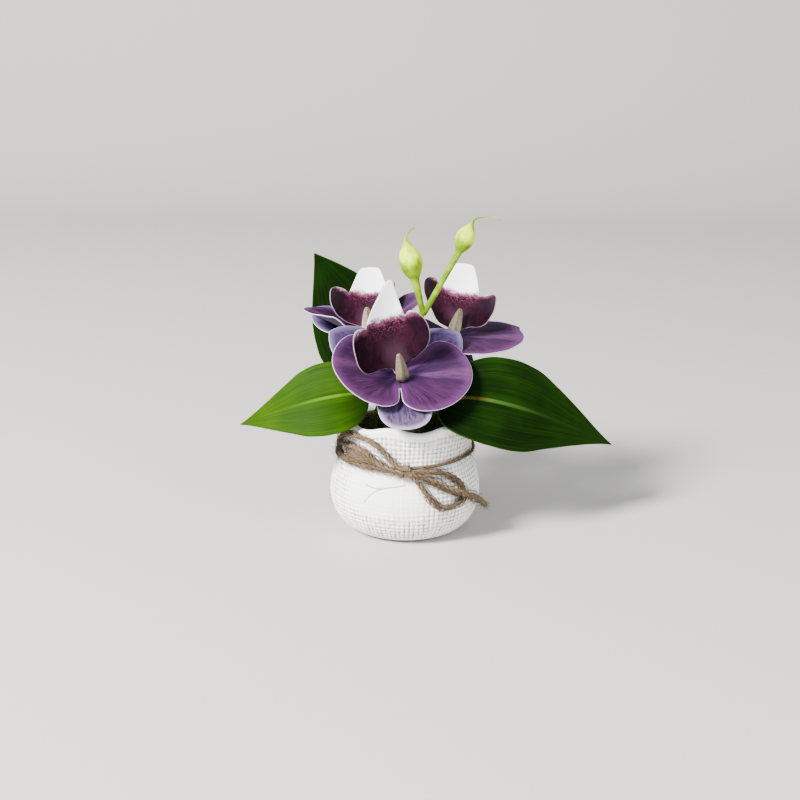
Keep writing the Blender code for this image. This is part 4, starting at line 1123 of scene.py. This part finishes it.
def sepal_material():
    g = Graph("sepal_coated", 0.6, 0.05)
    x, y, side = g.read("flat")
    margin = g.read_one("margin")
    angle, radius = polar(g, x, y)
    veins = g.noise(g.join(g.times(angle, 13.0), g.times(radius, 0.12), 2.0), 1.0, 4.0, 0.65, 0.8)
    mottle = g.noise(g.join(x, y, side), 0.55, 5.0, 0.7)
    g.base(g.step(radius, 6.0, 30.0), "241a3a", "352b48")
    g.paint(g.step(mottle, 0.4, 0.65, end=0.5), "4c3e64")
    g.paint(g.step(y, -14.0, -26.0, end=0.75), "56485f")
    g.paint(g.step(veins, 0.46, 0.62, end=0.8), "281735")
    g.paint(g.step(margin, 0.6, 3.5, 0.5, 0.0), "6e5f86")
    g.paint(g.times(g.step(y, -16.0, -24.0, end=0.8), g.step(margin, 0.3, 2.4, 1.0, 0.0)), "8f84a0")
    g.paint(g.step(margin, *CUT_EDGE, 0.9, 0.0), "c4bccb")
    return g.finish(veins, 0.12, 0.6)


def lip_material():
    g = Graph("lip_coated", 0.5, 0.06)
    x, y, side = g.read("flat")
    margin = g.read_one("margin")
    across = g.size(x)
    flat = g.join(x, y, side)
    cloud = g.noise(flat, 0.16, 4.0, 0.6, 0.6)
    streak = g.noise(g.stretch((x, 0.55), (y, 0.16), (side, 1.0)), 1.0, 4.0, 0.65, 1.2)
    speck = g.noise(flat, 1.1, 3.0, 0.6)
    g.base(g.step(cloud, 0.32, 0.62), "12030d", "250818")
    g.paint(g.step(streak, 0.5, 0.7, end=0.6), "40112a")
    g.paint(g.step(across, 7.0, 17.0, end=0.65), "12030f")
    g.paint(g.times(g.step(across, 8.5, 2.0), g.step(y, 21.0, 9.0, end=0.85)), "3c2432")
    near_kite = g.times(g.step(y, 16.0, 26.0), g.step(across, 12.0, 5.0))
    g.paint(g.times(g.step(speck, 0.5, 0.64, end=0.7), near_kite), "6e3850")
    border = g.math("ADD", y, g.times(g.math("SUBTRACT", cloud, 0.5), 8.0))
    border = g.math("ADD", border, g.times(g.math("SUBTRACT", speck, 0.5), 3.0))
    g.paint(g.step(border, 23.4, 26.6, end=0.8), "6c3a56")
    g.paint(g.step(border, 26.2, 29.0), "f2eef4")
    g.paint(g.step(margin, 0.05, 0.2, 0.8, 0.0), "a88c9c")
    return g.finish(streak, 0.08, 0.5)


def column_material():
    g = Graph("column_waxy", 0.5)
    v, t, _ = g.read("strap")
    grain = g.noise(g.place(), 1.2, 4.0, 0.6)
    g.base(g.step(grain, 0.35, 0.7), "5a5040", "84775c")
    # painted shade: the strap's right side, where v is above 0, is darker as if turned from the light
    g.paint(g.step(v, -0.1, 0.5, end=0.35), "4a4038")
    g.paint(g.step(t, 0.16, 0.0, end=0.6), "3a312c")
    return g.finish(grain, 0.1, 0.6)


def make_column(key, bloom, matrix, material):
    """The small folded column in the throat: a tapering ridged tab on a short foot."""
    lean = math.radians(bloom["lip_rise"][0] + COLUMN_OPENING)
    t = np.concatenate([[-COLUMN_FOOT_SHARE, -0.10, -0.05], np.linspace(0.0, 1.0, 26)])[:, None]
    angle = circle(COLUMN_SIDES)[None]
    v = np.cos(angle)
    half = eased([(s, w) for s, w, _ in COLUMN_SECTIONS], t)
    flare = (half - COLUMN_FOOT_HALF_WIDTH) * (1 + t / COLUMN_FOOT_SHARE)
    half = np.where(t < 0, COLUMN_FOOT_HALF_WIDTH + flare, half)
    ridge = eased([(s, h) for s, _, h in COLUMN_SECTIONS], t)
    hump = np.exp(-((v - COLUMN_RIDGE_AT) / COLUMN_RIDGE_WIDTH) ** 2)
    crown = COLUMN_EDGE + (ridge - COLUMN_EDGE) * hump
    depth = np.where(np.sin(angle) > 0, crown, COLUMN_EDGE) * np.sin(angle)
    depth = np.sign(depth) * np.abs(depth) ** 0.9
    run = np.maximum(t, 0.0) * COLUMN_LENGTH
    tilt = lean + (math.pi / 2 - lean) * smoothstep(0.02, -0.12, t)
    ahead = bloom["column_base"] + run * math.cos(lean) - np.sin(tilt) * depth
    elbow = LIP_HEIGHT + COLUMN_LIFT
    sink = smoothstep(0.0, -COLUMN_FOOT_SHARE, t) * (elbow - COLUMN_FOOT_HEIGHT)
    up = elbow - sink + run * math.sin(lean) + np.cos(tilt) * depth
    local = np.stack([*turned(v * half, ahead, math.radians(bloom["column_turn"])), up], -1)
    column = Shape()
    column.add_loops(in_frame(matrix, local), strap=np.stack(np.broadcast_arrays(v, t, 0.0), -1))
    column.piece(f"column_{key}_waxy", material, "column_cream", f"{key}_column")


def make_bloom(key, bloom, materials):
    matrix = bloom_frame(bloom)
    petal_outline = mirrored(through(PETAL_OUTLINE, CURVE_STEPS))
    layers = (("sepals", sepal_outline(bloom), (0, 0), sepal_place, sepal_wave, "sepal_lavender"),
              ("petals", petal_outline, (0, 0), petal_place, petal_wave, "petal_purple"),
              ("lip", lip_outline(bloom), LIP_MIDDLE, lip_place, lip_wave, "lip_maroon"))
    for name, outline, middle, place, wave, slot in layers:
        shape = sheet_shape(outline, middle, place(bloom), matrix, wave)
        shape.piece(f"{name}_{key}_coated", materials[name], slot, f"{key}_{name}")
    make_column(key, bloom, matrix, materials["column"])
    back = -matrix[:3, 2]
    top = np.array(bloom["centre"]) + back * (PETAL_THICKNESS / 2 + RECEPTACLE_CLEARANCE)
    path = evenly(stem_path(top, back, bloom["foot"], bloom["stem_bow"]), STEM_STEP)
    along = lengths_along(path)
    radii = STEM_RADIUS + (RECEPTACLE_RADIUS - STEM_RADIUS) * smoothstep(10.0, 0.0, along)
    stem = Shape()
    stem.add_tube(path, radii * (1 + 0.03 * np.sin(along * 0.9)), STEM_SIDES)
    stem.piece(f"stem_{key}_green", materials["stem"], "stem_green", f"{key}_stem")


# Bud spray

SPRAY_FOOT = (4.5, -3.5)
SPRAY_BENDS = [(*SPRAY_FOOT, 53.0), (0.0, -5.5, 68.0), (-4.6, -8.0, 86.5), (0.8, -9.8, 97.5)]
FORK = (7.4, -9.6, 107.8)
# Where the trunk ends, from the fork
TRUNK_END = (0.3, 0.0, 0.8)
BUDS = {
    "left": {"start": (0.0, 0.0, -1.2), "base": (3.7, -9.8, 121.4), "top": (-1.3, -9.6, 140.8),
             "radius": 5.4,
             "tail": [(-1.3, -9.6, 142.0), (-0.8, -9.6, 143.6), (0.6, -9.6, 145.5), (2.8, -9.6, 147.0)]},
    "right": {"start": (0.1, 0.2, -1.1), "base": (22.6, -8.5, 134.6), "top": (28.9, -9.0, 149.2),
              "radius": 4.4,
              "tail": [(29.8, -9.0, 150.6), (32.4, -9.0, 151.9), (36.4, -9.0, 152.2), (41.5, -9.0, 151.0)]},
}
BUD_OUTLINE = [(0.0, 0.34), (0.10, 0.42), (0.24, 0.72), (0.42, 0.97), (0.55, 1.0), (0.72, 0.82),
               (0.88, 0.45), (1.0, 0.16)]
BRANCH_RADIUS = 1.35
TRUNK_RADIUS = 1.6
TAIL_RADIUS = 0.45
TRUNK_SIDES = 20
BUD_SIDES = 30
BUD_STEPS = 60
SEAM_DEPTH = 0.05
SEAM_SHARPNESS = 14


def bud_material():
    g = Graph("bud_waxy", 0.42, 0.08, Subsurface_Weight=0.15, Subsurface_Scale=0.003)
    ripe, around, _ = g.read("bud")
    streak = g.noise(g.stretch((ripe, 3.0), (around, 3.0)), 1.4, 4.0, 0.6)
    cloud = g.noise(g.place(), 0.16)
    g.base(g.step(cloud, 0.35, 0.65), "587600", "84a400")
    # painted highlight: a lighter band round the bud's swollen middle, broken up by the cloud noise
    belly_highlight = g.times(g.step(ripe, 0.3, 0.6), g.step(ripe, 1.05, 0.75))
    g.paint(g.times(belly_highlight, g.step(cloud, 0.3, 0.6, 0.2, 0.9)), "d2f000")
    g.paint(g.step(streak, 0.5, 0.7, end=0.4), "4a5e00")
    return g.finish(streak, 0.12, 0.4)


def bud_loops(fork, bud):
    """Loops of one branch with its bud and thin tail, and the facts that the material reads."""
    start = fork + bud["start"]
    base, top = np.array(bud["base"]), np.array(bud["top"])
    branch = through([start, (start + base) / 2, base], 14)[:-1]
    share = np.linspace(0.0, 1.0, BUD_STEPS)
    tail = through([top, *bud["tail"]], 6)[1:]
    path = np.vstack([branch, base + (top - base) * share[:, None], tail])
    swell = eased(BUD_OUTLINE, share) * bud["radius"]
    grown = smoothstep(0.0, 1.0, np.linspace(0, 1, len(branch))) ** 3
    neck = BRANCH_RADIUS + (swell[0] - BRANCH_RADIUS) * grown
    ahead = lengths_along(tail)
    thin = TAIL_RADIUS + (swell[-1] - TAIL_RADIUS) * smoothstep(2.0, 0.0, ahead)
    thin = thin * (1 - 0.45 * ahead / ahead[-1])
    loops, facts = tube_loops(path, np.concatenate([neck, swell, thin]), BUD_SIDES)
    ripe = np.concatenate([np.zeros(len(branch)), share, np.ones(len(tail))])[:, None]
    facts[..., 0] = ripe
    seams = SEAM_DEPTH * np.abs(np.cos(1.5 * facts[..., 1])) ** SEAM_SHARPNESS
    seams = seams * smoothstep(0.1, 0.5, ripe) * smoothstep(1.0, 0.9, ripe)
    middle = path[:, None]
    return middle + (loops - middle) * (1 - seams)[..., None], facts


def make_spray():
    fork = np.array(FORK)
    bottom = (*SPRAY_FOOT, SOIL_TOP - STEM_DEPTH)
    trunk = evenly(np.vstack([bottom, through([*SPRAY_BENDS, FORK], 12), fork + TRUNK_END]), STEM_STEP)
    radii = TRUNK_RADIUS * (1 + 0.02 * np.sin(lengths_along(trunk) * 0.8))
    loops, facts = tube_loops(trunk, radii, TRUNK_SIDES)
    facts[..., 0] = 0.0
    spray = Shape()
    spray.add_loops(loops, bud=facts)
    for bud in BUDS.values():
        loops, facts = bud_loops(fork, bud)
        spray.add_loops(loops, bud=facts)
    spray.piece("bud_spray_waxy", bud_material(), "bud_yellow_green", "bud_spray")


# Stage: floor, lights and camera

FLOOR_SIZE = 6.0
BACKDROP_AT = 1.0
BACKDROP_BEND = 0.35
BACKDROP_TOP = 2.4
CAMERA_PLACE = (-0.0029, -0.645, 0.2427)
CAMERA_DOWN = math.radians(15.6)
CAMERA_ROLL = math.radians(0.75)
CAMERA_LENS = 63.0
SENSOR_WIDTH = 36.0
NEAREST_SEEN = 0.01
# Lights, as name: (place, aim, size, power, colour)
LIGHTS = {
    "key": ((-1.05, -0.95, 1.15), (0.0, 0.0, 0.06), 0.5, 165.0, (1.0, 0.985, 0.96)),
    "fill": ((1.1, -0.9, 0.8), (0.0, 0.0, 0.08), 1.2, 14.0, (0.94, 0.97, 1.0)),
}
SKY_COLOUR = (0.95, 0.97, 1.0, 1.0)
SKY_STRENGTH = 0.9


def make_stage():
    """One pale sheet: a level floor that bends up into a backdrop well behind the plant."""
    profile = [(-FLOOR_SIZE / 2, 0.0), (0.0, 0.0)]
    for angle in np.linspace(0, math.pi / 2, 12):
        profile.append((BACKDROP_AT + BACKDROP_BEND * math.sin(angle), BACKDROP_BEND * (1 - math.cos(angle))))
    profile.append((BACKDROP_AT + BACKDROP_BEND, BACKDROP_TOP))
    points = [(x, y, z) for y, z in profile for x in (-FLOOR_SIZE / 2, FLOOR_SIZE / 2)]
    faces = [(2 * i, 2 * i + 1, 2 * i + 3, 2 * i + 2) for i in range(len(profile) - 1)]
    mesh = bpy.data.meshes.new("floor")
    mesh.from_pydata(points, [], faces)
    mesh.shade_smooth()
    g = Graph("pale_floor", 0.7, 0.25)
    g.set("Base Color", srgb("b2b1ac"))
    mesh.materials.append(g.material)
    new_object("floor", mesh)


def make_lights():
    for name, (place, aim, size, power, colour) in LIGHTS.items():
        data = bpy.data.lights.new(name, "AREA")
        data.shape = "DISK"
        data.size = size
        data.energy = power
        data.color = colour
        lamp = new_object(name, data)
        lamp.location = place
        lamp.rotation_euler = (Vector(aim) - Vector(place)).to_track_quat("-Z", "Y").to_euler()
    world = bpy.data.worlds.new("studio")
    world.use_nodes = True
    background = world.node_tree.nodes["Background"]
    background.inputs["Color"].default_value = SKY_COLOUR
    background.inputs["Strength"].default_value = SKY_STRENGTH
    bpy.context.scene.world = world


def make_camera():
    data = bpy.data.cameras.new("camera")
    data.lens = CAMERA_LENS
    data.sensor_width = SENSOR_WIDTH
    data.clip_start = NEAREST_SEEN
    camera = new_object("camera", data)
    level = Matrix.Rotation(math.pi / 2 - CAMERA_DOWN, 4, "X")
    roll = Matrix.Rotation(CAMERA_ROLL, 4, "Z")
    camera.matrix_world = Matrix.Translation(CAMERA_PLACE) @ level @ roll
    bpy.context.scene.camera = camera


def main():
    random = np.random.default_rng(SEED)
    make_camera()
    make_stage()
    make_lights()
    make_pot()
    make_soil(random)
    make_twine(random)
    materials = {"sepals": sepal_material(), "petals": petal_material(), "lip": lip_material(),
                 "column": column_material(), "stem": stem_material()}
    for name, leaf in LEAVES.items():
        make_leaf(name, leaf)
    for key, bloom in BLOOMS.items():
        make_bloom(key, bloom, materials)
    make_spray()


main()
